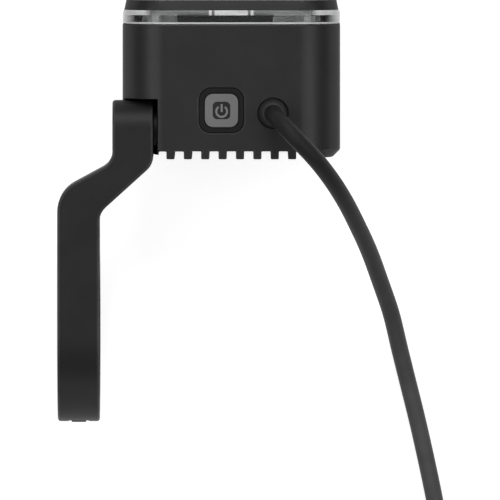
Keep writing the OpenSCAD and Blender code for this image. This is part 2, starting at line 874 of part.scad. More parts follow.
module led_wires()
    color([0.8, 0.1, 0.1])
        in_lamp()
            for (place = led_wires_at)
                translate([place.x, driver_front - wire_lap, place.y])
                    rotate([-90, 0, 0])
                        cylinder(r = wire_r, h = pad_front - driver_front + wire_lap);

module supply_wires()
    color([0.75, 0.1, 0.1])
        for (s = [-1, 1])
            translate([gland_at.x + s * cable_r / 2, gland_at.y, driver_z + board_t])
                cylinder(r = wire_r, h = gland_bottom - driver_z - board_t);

module switch_board()
    color([0.1, 0.35, 0.2])
        difference() {
            translate([button_at.x - switch_board_w / 2, button_at.y - switch_board_w / 2,
                switch_board_top - switch_board_t])
                cube([switch_board_w, switch_board_w, switch_board_t]);
            switch_posts(small_screw_r + seat_gap, switch_board_top - switch_board_t - past);
        }

module switch_screws()
    color([0.7, 0.7, 0.72])
        for (s = [-1, 1])
            translate([button_at.x + s * switch_post_at, button_at.y + s * switch_post_at,
                switch_board_top - switch_board_t - small_head_t]) {
                cylinder(r = switch_post_r, h = small_head_t);
                cylinder(r = small_screw_r, h = small_head_t + switch_board_t + small_grip);
            }

module tact_switch()
    color([0.15, 0.15, 0.16])
        difference() {
            translate([button_at.x - switch_w / 2, button_at.y - switch_w / 2, switch_board_top])
                cube([switch_w, switch_w, switch_h]);
            translate([button_at.x, button_at.y, plunger_bottom - button_travel - run_gap])
                cylinder(r = plunger_r + pin_gap, h = switch_h);
        }

// Button
module button_surround()
    color([0.11, 0.11, 0.11])
        translate([button_at.x, button_at.y, surround_seat])
            linear_extrude(lamp_top - surround_drop - surround_seat)
                difference() {
                    rounded_rect(surround_w, surround_w, surround_r);
                    rounded_rect(cap_w + 2 * cap_gap, cap_w + 2 * cap_gap, cap_r + cap_gap);
                }

module button_cap()
    color([0.46, 0.46, 0.46])
        difference() {
            union() {
                square_shaft(cap_w, cap_r, cap_skirt_top - cap_skirt_t, lamp_top + cap_proud);
                square_shaft(cap_skirt_w, cap_r + (cap_skirt_w - cap_w) / 2, cap_skirt_top - cap_skirt_t,
                    cap_skirt_top);
                translate([button_at.x, button_at.y, plunger_top])
                    cylinder(r = stem_r, h = cap_skirt_top - plunger_top);
            }
            square_shaft(icon_w, icon_r, lamp_top + cap_proud - icon_t, lamp_top + cap_proud + past);
        }

module button_icon()
    color([0.14, 0.14, 0.14])
        square_shaft(icon_w, icon_r, lamp_top + cap_proud - icon_t, lamp_top + cap_proud);

module switch_plunger()
    color([0.6, 0.6, 0.55])
        translate([button_at.x, button_at.y, plunger_bottom])
            cylinder(r = plunger_r, h = plunger_top - plunger_bottom);

// Gland
module cable_gland()
    color([0.13, 0.13, 0.13])
        translate([gland_at.x, gland_at.y, 0])
            difference() {
                union() {
                    translate([0, 0, lamp_top - gland_counter_t])
                        cylinder(r = gland_r, h = gland_counter_t + gland_h / 2);
                    translate([0, 0, lamp_top + gland_h / 2])
                        cylinder(r1 = gland_r, r2 = gland_lip_r, h = gland_h / 2);
                    translate([0, 0, gland_bottom])
                        cylinder(r = gland_neck_r, h = lamp_top - gland_counter_t - gland_bottom);
                }
                translate([0, 0, gland_bottom - past])
                    cylinder(r = cable_r + pin_gap, h = lamp_top + gland_h + 2 * past - gland_bottom);
            }

module gland_nut()
    color([0.6, 0.6, 0.62])
        translate([gland_at.x, gland_at.y, lamp_top - top_wall - nut_t])
            difference() {
                cylinder(r = nut_r, h = nut_t, $fn = 6);
                translate([0, 0, -past])
                    cylinder(r = gland_neck_r + pin_gap, h = nut_t + 2 * past);
            }

// Tilt joint
module tilt_insert()
    color([0.7, 0.65, 0.45])
        difference() {
            rod_x(insert_r, pocket_wall, insert_len, arm_reach, pivot_z);
            rod_x(bolt_r, pocket_wall - past, insert_len + 2 * past, arm_reach, pivot_z);
        }

module tilt_bolt()
    color([0.25, 0.25, 0.26])
        difference() {
            union() {
                rod_x(bolt_head_r, arm_left + bolt_sink, bolt_head_h - pin_gap, arm_reach, pivot_z);
                rod_x(bolt_r, arm_left + bolt_sink, pocket_wall + insert_len - arm_left - bolt_sink - past,
                    arm_reach, pivot_z);
            }
            translate([arm_left + bolt_sink - past, arm_reach, pivot_z])
                rotate([0, 90, 0])
                    cylinder(r = bolt_r * 0.92, h = bolt_head_h / 2 + past, $fn = 6);
        }

module tilt_washer()
    color([0.16, 0.16, 0.16])
        difference() {
            rod_x(bolt_r + washer_rim, pocket_wall - washer_t, washer_t, arm_reach, pivot_z);
            rod_x(bolt_r + pin_gap, pocket_wall - washer_t - past, washer_t + 2 * past, arm_reach, pivot_z);
        }

module tilt_head_washer()
    color([0.6, 0.6, 0.62])
        difference() {
            rod_x(bolt_head_r, bolt_seat - head_washer_t, head_washer_t, arm_reach, pivot_z);
            rod_x(bolt_r + pin_gap, bolt_seat - head_washer_t - past, head_washer_t + 2 * past,
                arm_reach, pivot_z);
        }

// Arm with the upper clamp half
arm_rear = -ring_r - past;
arm_tip = arm_front + past;
arm_outline = concat(
    [[clamp_w / 2, arm_rear]],
    rounded_corner([clamp_w / 2, arm_rear], [clamp_w / 2, arm_reach - inner_step_end],
        [arm_right, arm_reach - inner_step_start], inner_end_r),
    rounded_corner([clamp_w / 2, arm_reach - inner_step_end], [arm_right, arm_reach - inner_step_start],
        [arm_right, arm_tip], inner_start_r),
    [[arm_right, arm_tip], [arm_left, arm_tip]],
    rounded_corner([arm_left, arm_tip], [arm_left, arm_reach - outer_step_start],
        [-clamp_w / 2, arm_reach - outer_step_end], outer_start_r),
    rounded_corner([arm_left, arm_reach - outer_step_start], [-clamp_w / 2, arm_reach - outer_step_end],
        [-clamp_w / 2, arm_rear], outer_end_r),
    [[-clamp_w / 2, arm_rear]]);

module arm_side()
    difference() {
        union() {
            translate([arm_reach, pivot_z])
                circle(arm_t / 2);
            translate([0, arm_bottom])
                square([arm_reach, arm_t]);
            intersection() {
                circle(ring_r);
                translate([-ring_r, half_gap])
                    square([2 * ring_r, ring_r]);
            }
            translate([0, half_gap])
                square([lug_front, arm_bottom - half_gap + past]);
            polygon([[lug_front, arm_bottom - lug_web], [lug_front + lug_web, arm_bottom],
                [lug_front, arm_bottom + past], [lug_front - past, arm_bottom]]);
        }
        circle(bed_r);
    }

module knuckle(r, start, length)
    difference() {
        rod_x(r, start, length, hinge_y, 0);
        rod_x(bar_r + run_gap, start - past, length + 2 * past, 0, 0);
    }

module arm()
    color([0.18, 0.18, 0.18])
        difference() {
            union() {
                intersection() {
                    translate([0, 0, -ring_r])
                        linear_extrude(2 * ring_r + past)
                            polygon(arm_outline);
                    along_x(-clamp_w, arm_right + 2 * clamp_w)
                        arm_side();
                }
                for (s = [-1, 1])
                    knuckle(arm_knuckle_r, s > 0 ? knuckle_half + knuckle_side_gap : -clamp_w / 2,
                        clamp_w / 2 - knuckle_half - knuckle_side_gap);
            }
            rod_x(knuckle_r + run_gap, -knuckle_half - knuckle_side_gap,
                2 * (knuckle_half + knuckle_side_gap), hinge_y, 0);
            rod_x(hinge_pin_d / 2, -clamp_w, 2 * clamp_w, hinge_y, 0);
            rod_x(bolt_head_r + run_gap, arm_left - past, bolt_seat - arm_left + past, arm_reach, pivot_z);
            rod_x(bolt_r + pin_gap, arm_left, arm_w + past, arm_reach, pivot_z);
            for (y = [screw_y, screw_y + screw_swing])
                translate([0, y, 0])
                    cylinder(r = screw_r + run_gap, h = screw_tip_z + run_gap);
            translate([-screw_r - run_gap, screw_y, 0])
                cube([2 * (screw_r + run_gap), screw_swing, screw_tip_z + run_gap]);
        }

module liner(side)
    along_x(-liner_w / 2, liner_w)
        intersection() {
            difference() {
                circle(bed_r);
                circle(bar_r);
            }
            translate([-bed_r, side > 0 ? liner_edge_z : -liner_edge_z - bed_r])
                square([2 * bed_r, bed_r]);
        }

module upper_liner()
    color([0.08, 0.08, 0.08])
        liner(1);

module hinge_pin()
    color([0.6, 0.6, 0.62])
        rod_x(hinge_pin_d / 2, -clamp_w / 2 + run_gap, clamp_w - 2 * run_gap, hinge_y, 0);

// Jaw
module jaw_side()
    difference() {
        union() {
            intersection() {
                circle(jaw_r);
                translate([-jaw_r, -half_gap - jaw_r])
                    square([2 * jaw_r, jaw_r]);
            }
            translate([0, -half_gap - lug_t])
                square([lug_front, lug_t]);
        }
        circle(bed_r);
    }

module jaw()
    color([0.18, 0.18, 0.18])
        difference() {
            union() {
                difference() {
                    along_x(-clamp_w / 2, clamp_w)
                        jaw_side();
                    for (start = [-clamp_w / 2 - past, knuckle_half - knuckle_side_gap])
                        rod_x(arm_knuckle_r + run_gap, start,
                            clamp_w / 2 + past - knuckle_half + knuckle_side_gap, hinge_y, 0);
                }
                knuckle(knuckle_r, -knuckle_half + knuckle_side_gap, 2 * (knuckle_half - knuckle_side_gap));
            }
            rod_x(hinge_pin_d / 2 + pin_gap, -clamp_w, 2 * clamp_w, hinge_y, 0);
            translate([0, screw_y, -half_gap - lug_t - past])
                cylinder(r = screw_r + pin_gap, h = lug_t + 2 * past);
        }

module lower_liner()
    color([0.08, 0.08, 0.08])
        liner(-1);

module clamp_screw()
    color([0.6, 0.6, 0.62])
        translate([0, screw_y, screw_seat_z - screw_head_h])
            difference() {
                cylinder(r = screw_head_r, h = screw_head_h);
                translate([0, 0, -past])
                    cylinder(r = screw_r * 0.85, h = screw_head_h / 2 + past, $fn = 6);
            }

// Threaded shank of the clamp screw, inside the jaw and the arm
module clamp_shank()
    color([0.6, 0.6, 0.62])
        translate([0, screw_y, screw_seat_z])
            cylinder(r = screw_r, h = screw_tip_z - screw_seat_z);

// Lead
module tube(route, sides, first)
    polyhedron(tube_points(route, cable_r, sides, first), tube_faces(len(route), sides));

module cable()
    color([0.16, 0.16, 0.16])
        tube(cable_route, cable_sides, [1, 0, 0]);

module cable_coil()
    color([0.16, 0.16, 0.16])
        tube(coil_points, coil_sides, [0, 0, 1]);

module cable_tail()
    color([0.16, 0.16, 0.16])
        tube(tail_route, cable_sides, [0, 0, 1]);

// Strap round the coil's turns on its left side
tie_w = 5;
tie_in = coil_radius(coil_turns - 1.75) - cable_r - run_gap;
tie_out = coil_radius(0.5) + cable_r + run_gap;
tie_low = coil_low_z - cable_r - seat_gap;
tie_high = coil_high_z + cable_r + run_gap;

module cable_tie()
    color([0.1, 0.1, 0.1])
        translate([coil_x - (tie_in + tie_out) / 2, coil_y - tie_w / 2, (tie_low + tie_high) / 2])
            along_y(0, tie_w)
                difference() {
                    rounded_rect(tie_out - tie_in + 2 * tie_t, tie_high - tie_low + 2 * tie_t, 2 + tie_t);
                    rounded_rect(tie_out - tie_in, tie_high - tie_low, 2);
                }

module plug_rod(r, start, end)
    rod_x(r, end, start - end, tail_y_line, plug_z);

module plug_body()
    color([0.15, 0.15, 0.15]) {
        plug_rod(plug_r, plug_body_x, plug_front_x);
        translate([plug_body_x, tail_y_line, plug_z])
            rotate([0, 90, 0])
                cylinder(r1 = plug_r, r2 = relief_r, h = relief_len);
    }

module plug_nose()
    color([0.25, 0.25, 0.25])
        difference() {
            plug_rod(nose_r, plug_front_x, plug_front_x - nose_len);
            for (s = [-1, 1])
                rod_x(contact_r + pin_gap, plug_front_x - nose_len - past, nose_len + past,
                    tail_y_line + s * contact_pitch / 2, plug_z);
        }

module plug_contacts()
    color([0.85, 0.7, 0.35])
        for (s = [-1, 1])
            rod_x(contact_r, plug_front_x - nose_len + 1, nose_len - 1,
                tail_y_line + s * contact_pitch / 2, plug_z);

module plug_collar()
    color([0.2, 0.2, 0.2])
        difference() {
            plug_rod(collar_r, plug_front_x + collar_lap, plug_front_x + collar_lap - collar_len);
            plug_rod(plug_r + seat_gap, plug_front_x + collar_lap + past, plug_front_x - seat_gap);
            plug_rod(collar_r - collar_wall, plug_front_x, plug_front_x + collar_lap - collar_len - past);
        }

housing();
front_lens();
lens_gasket();
bezel();
bezel_screws();
front_mask();
optic_holder();
collimator();
led_emitters();
led_board();
led_board_screws();
thermal_pad();
heat_spreader();
spreader_screws();
driver_board();
driver_parts();
led_wires();
supply_wires();
switch_board();
switch_screws();
tact_switch();
button_surround();
button_cap();
button_icon();
switch_plunger();
cable_gland();
gland_nut();
tilt_insert();
tilt_bolt();
tilt_washer();
tilt_head_washer();
arm();
upper_liner();
hinge_pin();
jaw();
lower_liner();
clamp_screw();
clamp_shank();
cable();
cable_coil();
cable_tie();
cable_tail();
plug_body();
plug_nose();
plug_contacts();
plug_collar();
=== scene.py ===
"""Looks of a bicycle headlight on an offset arm. Metres; +X across the bicycle, +Y along the beam, +Z up."""

import json
import math

import bmesh
import bpy
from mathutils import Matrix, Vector
from mathutils.bvhtree import BVHTree


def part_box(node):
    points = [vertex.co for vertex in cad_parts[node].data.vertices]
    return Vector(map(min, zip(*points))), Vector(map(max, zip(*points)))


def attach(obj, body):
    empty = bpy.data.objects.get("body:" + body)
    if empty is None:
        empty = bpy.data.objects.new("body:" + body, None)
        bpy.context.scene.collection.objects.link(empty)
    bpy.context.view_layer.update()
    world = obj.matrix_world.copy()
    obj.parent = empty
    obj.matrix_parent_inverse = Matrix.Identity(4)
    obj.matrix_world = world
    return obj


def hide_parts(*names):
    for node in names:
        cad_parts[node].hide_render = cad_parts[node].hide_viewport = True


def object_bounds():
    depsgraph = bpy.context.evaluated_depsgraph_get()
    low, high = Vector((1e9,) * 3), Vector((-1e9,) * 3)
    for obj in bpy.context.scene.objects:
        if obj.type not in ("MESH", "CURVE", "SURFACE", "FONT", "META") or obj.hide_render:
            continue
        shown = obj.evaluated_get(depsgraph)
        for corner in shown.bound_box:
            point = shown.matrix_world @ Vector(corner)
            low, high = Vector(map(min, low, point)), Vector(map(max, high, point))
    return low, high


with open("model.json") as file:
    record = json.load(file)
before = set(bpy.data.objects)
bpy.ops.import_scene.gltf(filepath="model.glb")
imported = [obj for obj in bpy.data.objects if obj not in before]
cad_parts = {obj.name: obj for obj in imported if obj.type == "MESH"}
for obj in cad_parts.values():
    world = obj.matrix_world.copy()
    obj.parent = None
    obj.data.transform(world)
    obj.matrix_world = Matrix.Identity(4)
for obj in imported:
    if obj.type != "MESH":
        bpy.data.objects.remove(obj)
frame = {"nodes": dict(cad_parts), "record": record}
cad_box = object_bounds()
cad = frame["nodes"]
body_of = {name: body for body, names in frame["record"]["behaviour"]["bodies"].items() for name in names}

# Lengths are in metres; only the lead's route, turned profiles and the table of edge radii are in mm
MM = 0.001
ALONG_X = Vector((1, 0, 0))
ALONG_Y = Vector((0, 1, 0))
ALONG_Z = Vector((0, 0, 1))

# Camera: straight above the lamp with a long lens, leaning a little forward
PICTURE_W = 125.0 * MM
LENS_MM = 1500.0
SENSOR_MM = 36.0
CAMERA_LEAN = math.radians(2.0)
CAMERA_REACH = 20.0
AIM = Vector((42.775, 20.13, 0.0)) * MM


def place_camera():
    data = bpy.data.cameras.new("overhead_camera")
    data.lens = LENS_MM
    data.sensor_width = SENSOR_MM
    data.clip_end = CAMERA_REACH
    camera = bpy.data.objects.new("overhead_camera", data)
    distance = PICTURE_W * LENS_MM / SENSOR_MM
    camera.location = AIM + distance * Vector((0, math.sin(CAMERA_LEAN), math.cos(CAMERA_LEAN)))
    camera.rotation_euler = (-CAMERA_LEAN, 0, 0)
    bpy.context.collection.objects.link(camera)
    bpy.context.scene.camera = camera


place_camera()


# Node helpers
def add_node(tree, kind, inputs=None, **settings):
    made = tree.nodes.new(kind)
    for name, value in settings.items():
        setattr(made, name, value)
    for socket, value in (inputs or {}).items():
        made.inputs[socket].default_value = value
    return made


def calc(tree, operation, first, second=None):
    """The result of a Math node; each side is a socket or a plain number."""
    made = add_node(tree, "ShaderNodeMath", operation=operation)
    for socket, value in zip(made.inputs, (first, second)):
        if isinstance(value, (int, float)):
            socket.default_value = value
        elif value is not None:
            tree.links.new(value, socket)
    return made.outputs["Value"]


def axis_of(tree, place, axis):
    made = add_node(tree, "ShaderNodeSeparateXYZ")
    tree.links.new(place, made.inputs["Vector"])
    return made.outputs[axis]


def attribute(tree, name):
    return add_node(tree, "ShaderNodeAttribute", attribute_name=name).outputs["Fac"]


def noise(tree, place, size, detail=2.0, stretch=None):
    """Noise whose spots are about the given size in metres, stretched along the axes if asked."""
    if stretch:
        mapping = add_node(tree, "ShaderNodeMapping", {"Scale": stretch})
        tree.links.new(place, mapping.inputs["Vector"])
        place = mapping.outputs["Vector"]
    made = add_node(tree, "ShaderNodeTexNoise", {"Scale": 1.0 / size, "Detail": detail})
    tree.links.new(place, made.inputs["Vector"])
    return made.outputs["Fac"]


def ripple(tree, run, size):
    """A wave that rises and falls once in the given size."""
    return calc(tree, "SINE", calc(tree, "MULTIPLY", run, 2 * math.pi / size))


def between(tree, share, low, high, start=0.3, end=0.7):
    """A value that runs from low to high as the share runs from start to end; the defaults suit noise."""
    made = add_node(tree, "ShaderNodeMapRange", {
        "From Min": start, "From Max": end, "To Min": low, "To Max": high})
    tree.links.new(share, made.inputs["Value"])
    return made.outputs["Result"]


def shade_between(tree, share, dark, light):
    made = add_node(tree, "ShaderNodeMix", {"A": (*dark, 1), "B": (*light, 1)}, data_type="RGBA")
    tree.links.new(share, made.inputs["Factor"])
    return made.outputs["Result"]


def bump(tree, shader, height, depth):
    made = add_node(tree, "ShaderNodeBump", {"Strength": 1.0, "Distance": depth})
    tree.links.new(height, made.inputs["Height"])
    tree.links.new(made.outputs["Normal"], shader.inputs["Normal"])


def grey(level):
    return (level, level, level)


def new_finish(name, **shader_values):
    """A material with its shader, and the piece's own coordinates to draw patterns on."""
    material = bpy.data.materials.new(name)
    material.use_nodes = True
    tree = material.node_tree
    shader = tree.nodes["Principled BSDF"]
    for socket, value in shader_values.items():
        shader.inputs[socket.replace("_", " ")].default_value = value
    place = add_node(tree, "ShaderNodeTexCoord").outputs["Object"]
    return material, tree, shader, place


GRAIN_DETAIL = 3.0
LEAST_WEAR_HIGHLIGHT = 0.35


def textured_finish(name, dark, light, rough, grain, depth, cloud=9 * MM, wear_and_highlight=None, **shader_values):
    """A surface with a fine grain, slow clouds in its colour and gloss, and paler rounded edges if asked, for
    wear and a painted edge highlight.
    """
    material, tree, shader, place = new_finish(name, **shader_values)
    clouds = noise(tree, place, cloud)
    spots = noise(tree, place, grain, detail=GRAIN_DETAIL)
    colour = shade_between(tree, between(tree, clouds, 0.0, 1.0), dark, light)
    if wear_and_highlight:
        patchy_wear_highlight = calc(tree, "MULTIPLY", attribute(tree, "edge"), between(tree, clouds, LEAST_WEAR_HIGHLIGHT, 1.0))
        worn_highlit = add_node(tree, "ShaderNodeMix", {"B": (*wear_and_highlight, 1)}, data_type="RGBA")
        tree.links.new(patchy_wear_highlight, worn_highlit.inputs["Factor"])
        tree.links.new(colour, worn_highlit.inputs["A"])
        colour = worn_highlit.outputs["Result"]
    tree.links.new(colour, shader.inputs["Base Color"])
    tree.links.new(between(tree, spots, *rough), shader.inputs["Roughness"])
    bump(tree, shader, spots, depth)
    return material


# Finishes of metal, rubber and plastic: two shades, a span of roughness, the grain's size and its depth
HOUSING_METAL = 0.65
ARM_METAL = 0.5
EDGE_TINT = (*grey(0.4), 1)
# Paler rounded edges stand for wear and also paint the highlight that the bevels catch
WORN_HIGHLIT_BLACK = grey(0.05)
housing_finish = textured_finish(
    "satin_black_die_cast", grey(0.033), grey(0.037), (0.36, 0.46), 0.22 * MM, 0.010 * MM,
    wear_and_highlight=WORN_HIGHLIT_BLACK, Metallic=HOUSING_METAL, Specular_Tint=EDGE_TINT, Specular_IOR_Level=0.36)
arm_finish = textured_finish(
    "satin_black_forging", grey(0.024), grey(0.028), (0.40, 0.50), 0.2 * MM, 0.010 * MM,
    wear_and_highlight=WORN_HIGHLIT_BLACK, Metallic=ARM_METAL, Specular_Tint=EDGE_TINT, Specular_IOR_Level=0.34)
rubber_finish = textured_finish(
    "black_rubber", grey(0.012), grey(0.018), (0.6, 0.75), 0.3 * MM, 0.02 * MM, Specular_IOR_Level=0.3)
gland_finish = textured_finish(
    "gland_rubber", grey(0.024), grey(0.030), (0.5, 0.62), 0.3 * MM, 0.015 * MM, Specular_IOR_Level=0.3)
surround_finish = textured_finish(
    "black_button_surround", grey(0.004), grey(0.006), (0.5, 0.62), 0.2 * MM, 0.01 * MM,
    Specular_IOR_Level=0.2)
cap_finish = textured_finish(
    "grey_button_rubber", grey(0.14), grey(0.155), (0.5, 0.6), 0.18 * MM, 0.012 * MM,
    Specular_IOR_Level=0.35)
dark_plastic_finish = textured_finish(
    "dark_moulded_plastic", grey(0.008), grey(0.012), (0.45, 0.6), 0.25 * MM, 0.012 * MM,
    Specular_IOR_Level=0.3)
grey_plastic_finish = textured_finish(
    "grey_mask_plastic", grey(0.42), grey(0.5), (0.4, 0.5), 0.25 * MM, 0.01 * MM)
steel_finish = textured_finish(
    "bright_steel", grey(0.52), grey(0.62), (0.22, 0.36), 0.3 * MM, 0.004 * MM, Metallic=1.0)
black_steel_finish = textured_finish(
    "black_oxide_steel", grey(0.03), grey(0.05), (0.3, 0.42), 0.25 * MM, 0.006 * MM, Metallic=0.6)
brass_finish = textured_finish(
    "brass", (0.55, 0.38, 0.14), (0.68, 0.5, 0.22), (0.22, 0.34), 0.3 * MM, 0.004 * MM, Metallic=1.0)
aluminium_finish = textured_finish(
    "bare_aluminium", grey(0.6), grey(0.7), (0.25, 0.4), 0.25 * MM, 0.004 * MM, Metallic=1.0)
board_finish = textured_finish(
    "green_board", (0.01, 0.11, 0.035), (0.02, 0.16, 0.06), (0.25, 0.35), 0.8 * MM, 0.01 * MM)
wire_finish = textured_finish(
    "red_wire", (0.4, 0.015, 0.012), (0.5, 0.03, 0.02), (0.35, 0.45), 0.3 * MM, 0.006 * MM)
pad_finish = textured_finish(
    "thermal_pad", (0.42, 0.3, 0.36), (0.52, 0.4, 0.46), (0.6, 0.75), 0.3 * MM, 0.01 * MM)
ceramic_finish = textured_finish(
    "led_ceramic", grey(0.7), grey(0.78), (0.35, 0.5), 0.2 * MM, 0.003 * MM)
phosphor_finish = textured_finish(
    "led_phosphor", (0.8, 0.55, 0.05), (0.9, 0.66, 0.1), (0.5, 0.65), 0.12 * MM, 0.004 * MM)
# Painted shade: the walls of the clear lens's screw posts, dark for the screw seen through them
post_shade_finish = textured_finish(
    "painted_post_shade", grey(0.10), grey(0.13), (0.5, 0.6), 0.25 * MM, 0.01 * MM)
symbol_finish = textured_finish(
    "grey_print", grey(0.16), grey(0.18), (0.5, 0.6), 0.1 * MM, 0.002 * MM)

# Painted light on the lead: its sheath is painted dark by the gland as shade, and paler in patches along the
# length that lies out as light
PAINTED_LIGHT_FROM = 0.045
PAINTED_LIGHT_TO = 0.12
PAINTED_LIGHT_PATCH = 6 * MM
LEAST_PAINTED_LIGHT = 0.75
SHEATH_GRAIN = 0.35 * MM
SHEATH_DEPTH = 0.012 * MM
SHEATH_ROUGH = (0.5, 0.6)
SHADED_SHEATH = grey(0.010)
LIT_SHEATH = grey(0.075)


def lead_finish():
    """Black sheath with a fine grain, painted darker by the gland as shade and paler along the length that
    lies out as light.
    """
    material, tree, shader, place = new_finish("black_lead_sheath", Specular_IOR_Level=0.22)
    chart = add_node(tree, "ShaderNodeUVMap", uv_map="along").outputs["UV"]
    # Painted shade by the gland, painted light further along the lead
    far = between(tree, axis_of(tree, chart, "Y"), 0.0, 1.0, PAINTED_LIGHT_FROM, PAINTED_LIGHT_TO)
    light_patches = between(tree, noise(tree, place, PAINTED_LIGHT_PATCH), LEAST_PAINTED_LIGHT, 1.0)
    painted_light = calc(tree, "MULTIPLY", far, light_patches)
    tree.links.new(shade_between(tree, painted_light, SHADED_SHEATH, LIT_SHEATH), shader.inputs["Base Color"])
    grain = noise(tree, place, SHEATH_GRAIN, detail=GRAIN_DETAIL)
    tree.links.new(between(tree, grain, *SHEATH_ROUGH), shader.inputs["Roughness"])
    bump(tree, shader, grain, SHEATH_DEPTH)
    return material


LINER_RIBS = 90
LINER_DEPTH = 0.15 * MM
LINER_GRAIN = 0.3 * MM
LINER_ROUGH = (0.6, 0.75)
LINER_GROOVE_SHADE = (grey(0.009), grey(0.018))


def liner_finish():
    """Black rubber with fine ribs that run along the handlebar, painted darker in the grooves as shade."""
    material, tree, shader, place = new_finish("ribbed_black_rubber", Specular_IOR_Level=0.3)
    angle = calc(tree, "ARCTAN2", axis_of(tree, place, "Z"), axis_of(tree, place, "Y"))
    ribs = calc(tree, "SINE", calc(tree, "MULTIPLY", angle, LINER_RIBS))
    share = between(tree, ribs, 0.0, 1.0, -1.0, 1.0)
    # Painted shade: the colour darkens where the ribs dip
    tree.links.new(shade_between(tree, share, *LINER_GROOVE_SHADE), shader.inputs["Base Color"])
    rough = between(tree, noise(tree, place, LINER_GRAIN), *LINER_ROUGH)
    tree.links.new(rough, shader.inputs["Roughness"])
    bump(tree, shader, share, LINER_DEPTH)
    return material


STRAP_THREAD = 0.5 * MM
STRAP_DEPTH = 0.06 * MM
STRAP_GRAIN = 0.4 * MM
STRAP_ROUGH = (0.7, 0.85)
STRAP_WEAVE_SHADE = (grey(0.008), grey(0.022))


def strap_finish():
    """Black webbing: threads that cross over and under each other, painted darker where they dip as shade."""
    material, tree, shader, place = new_finish("black_webbing", Specular_IOR_Level=0.2)
    round_strap = calc(tree, "ADD", axis_of(tree, place, "X"), axis_of(tree, place, "Z"))
    warp = ripple(tree, axis_of(tree, place, "Y"), STRAP_THREAD)
    weave = calc(tree, "MULTIPLY", warp, ripple(tree, round_strap, STRAP_THREAD))
    share = between(tree, weave, 0.0, 1.0, -1.0, 1.0)
    # Painted shade: the colour darkens where the threads dip under
    tree.links.new(shade_between(tree, share, *STRAP_WEAVE_SHADE), shader.inputs["Base Color"])
    rough = between(tree, noise(tree, place, STRAP_GRAIN), *STRAP_ROUGH)
    tree.links.new(rough, shader.inputs["Roughness"])
    bump(tree, shader, share, STRAP_DEPTH)
    return material


cable_finish = lead_finish()
ribbed_finish = liner_finish()
webbing_finish = strap_finish()

# Clear plastic; the moulded edge of the front has frosted lands, marks by the gate, and ends frosted white as
# a painted glow of light piped along it
PLASTIC_IOR = 1.49
CLEAR_TINT = (0.97, 0.98, 0.98, 1)
LENS_MIDDLE_X = 38.1 * MM
GATE_HALF = 4.0 * MM
GATE_FADE = 0.3 * MM
MARK_AT = 5.2 * MM
MARK_HALF = 0.25 * MM
END_FROM = 20.0 * MM
END_FADE = 1.6 * MM
PAINTED_GLOW_FROM = 24.4 * MM
PAINTED_GLOW_TO = 27.0 * MM
LAND_CLEAR = 0.12
FROSTED_CLEAR = 0.25
SMOKE_COLOUR = (0.2, 0.24, 0.24, 1)
SMOKE_DENSITY = 16.0
STREAK_SIZE = 1.2 * MM
STREAK_STRETCH = (0.25, 3, 3)
LEAST_STREAK = 0.5
POLISHED = 0.01
FROSTED = 0.3
HAZE_SIZE = 1.5 * MM


def clear_finish(name, rough):
    """Clear plastic with a faint haze in its gloss."""
    material, tree, shader, place = new_finish(name, Transmission_Weight=1.0, IOR=PLASTIC_IOR)
    shader.inputs["Base Color"].default_value = CLEAR_TINT
    haze = noise(tree, place, HAZE_SIZE)
    tree.links.new(between(tree, haze, *rough), shader.inputs["Roughness"])
    return material


def lens_edge_finish():
    """Clear plastic that is a little smoky through its depth, frosted on its lands, and frosted at its ends
    as a painted glow.
    """
    material, tree, shader, place = new_finish("clear_lens", IOR=PLASTIC_IOR)
    shader.inputs["Base Color"].default_value = CLEAR_TINT
    aside = calc(tree, "ABSOLUTE", calc(tree, "SUBTRACT", axis_of(tree, place, "X"), LENS_MIDDLE_X))
    gate = between(tree, aside, 1.0, LAND_CLEAR, GATE_HALF, GATE_HALF + GATE_FADE)
    off_mark = calc(tree, "ABSOLUTE", calc(tree, "SUBTRACT", aside, MARK_AT))
    mark = between(tree, off_mark, 1.0, 0.0, MARK_HALF, 2 * MARK_HALF)
    ends = between(tree, aside, LAND_CLEAR, 1.0, END_FROM, END_FROM + END_FADE)
    pattern = calc(tree, "MAXIMUM", calc(tree, "MAXIMUM", gate, ends), mark)
    lines = noise(tree, place, STREAK_SIZE, stretch=STREAK_STRETCH)
    streaks = between(tree, lines, LEAST_STREAK, 1.0)
    land = attribute(tree, "land")
    haze = attribute(tree, "haze")
    on_land = calc(tree, "MULTIPLY", calc(tree, "MULTIPLY", pattern, streaks), land)
    # Painted glow: the ends of the edge are frosted white to stand for light piped along the plastic
    painted_glow = between(tree, aside, 0.0, 1.0, PAINTED_GLOW_FROM, PAINTED_GLOW_TO)
    frost_and_glow = calc(tree, "MAXIMUM", calc(tree, "MAXIMUM", on_land, haze), painted_glow)
    tree.links.new(between(tree, frost_and_glow, 1.0, FROSTED_CLEAR, 0.0, 1.0), shader.inputs["Transmission Weight"])
    rough = between(tree, calc(tree, "MAXIMUM", land, haze), POLISHED, FROSTED, 0.0, 1.0)
    tree.links.new(rough, shader.inputs["Roughness"])
    smoke = add_node(tree, "ShaderNodeVolumeAbsorption", {
        "Color": SMOKE_COLOUR, "Density": SMOKE_DENSITY})
    tree.links.new(smoke.outputs["Volume"], tree.nodes["Material Output"].inputs["Volume"])
    return material


lens_finish = lens_edge_finish()
optic_finish = clear_finish("clear_optic", (0.01, 0.04))


# Shape helpers
SMOOTH_BELOW = math.radians(35)
ROUND_ABOVE = math.radians(32)
LEVEL_BELOW = math.radians(0.5)
MERGE_GAP = 0.002 * MM
CUT_GAP = 0.001 * MM
PULL_GAP = 0.005 * MM
TOUCH_GAP = 0.01 * MM
TURN_STEPS = 72
EDGE_SEGMENTS = 2
ROUNDER_SEGMENTS = 3
ROUND_PROFILE = 0.5


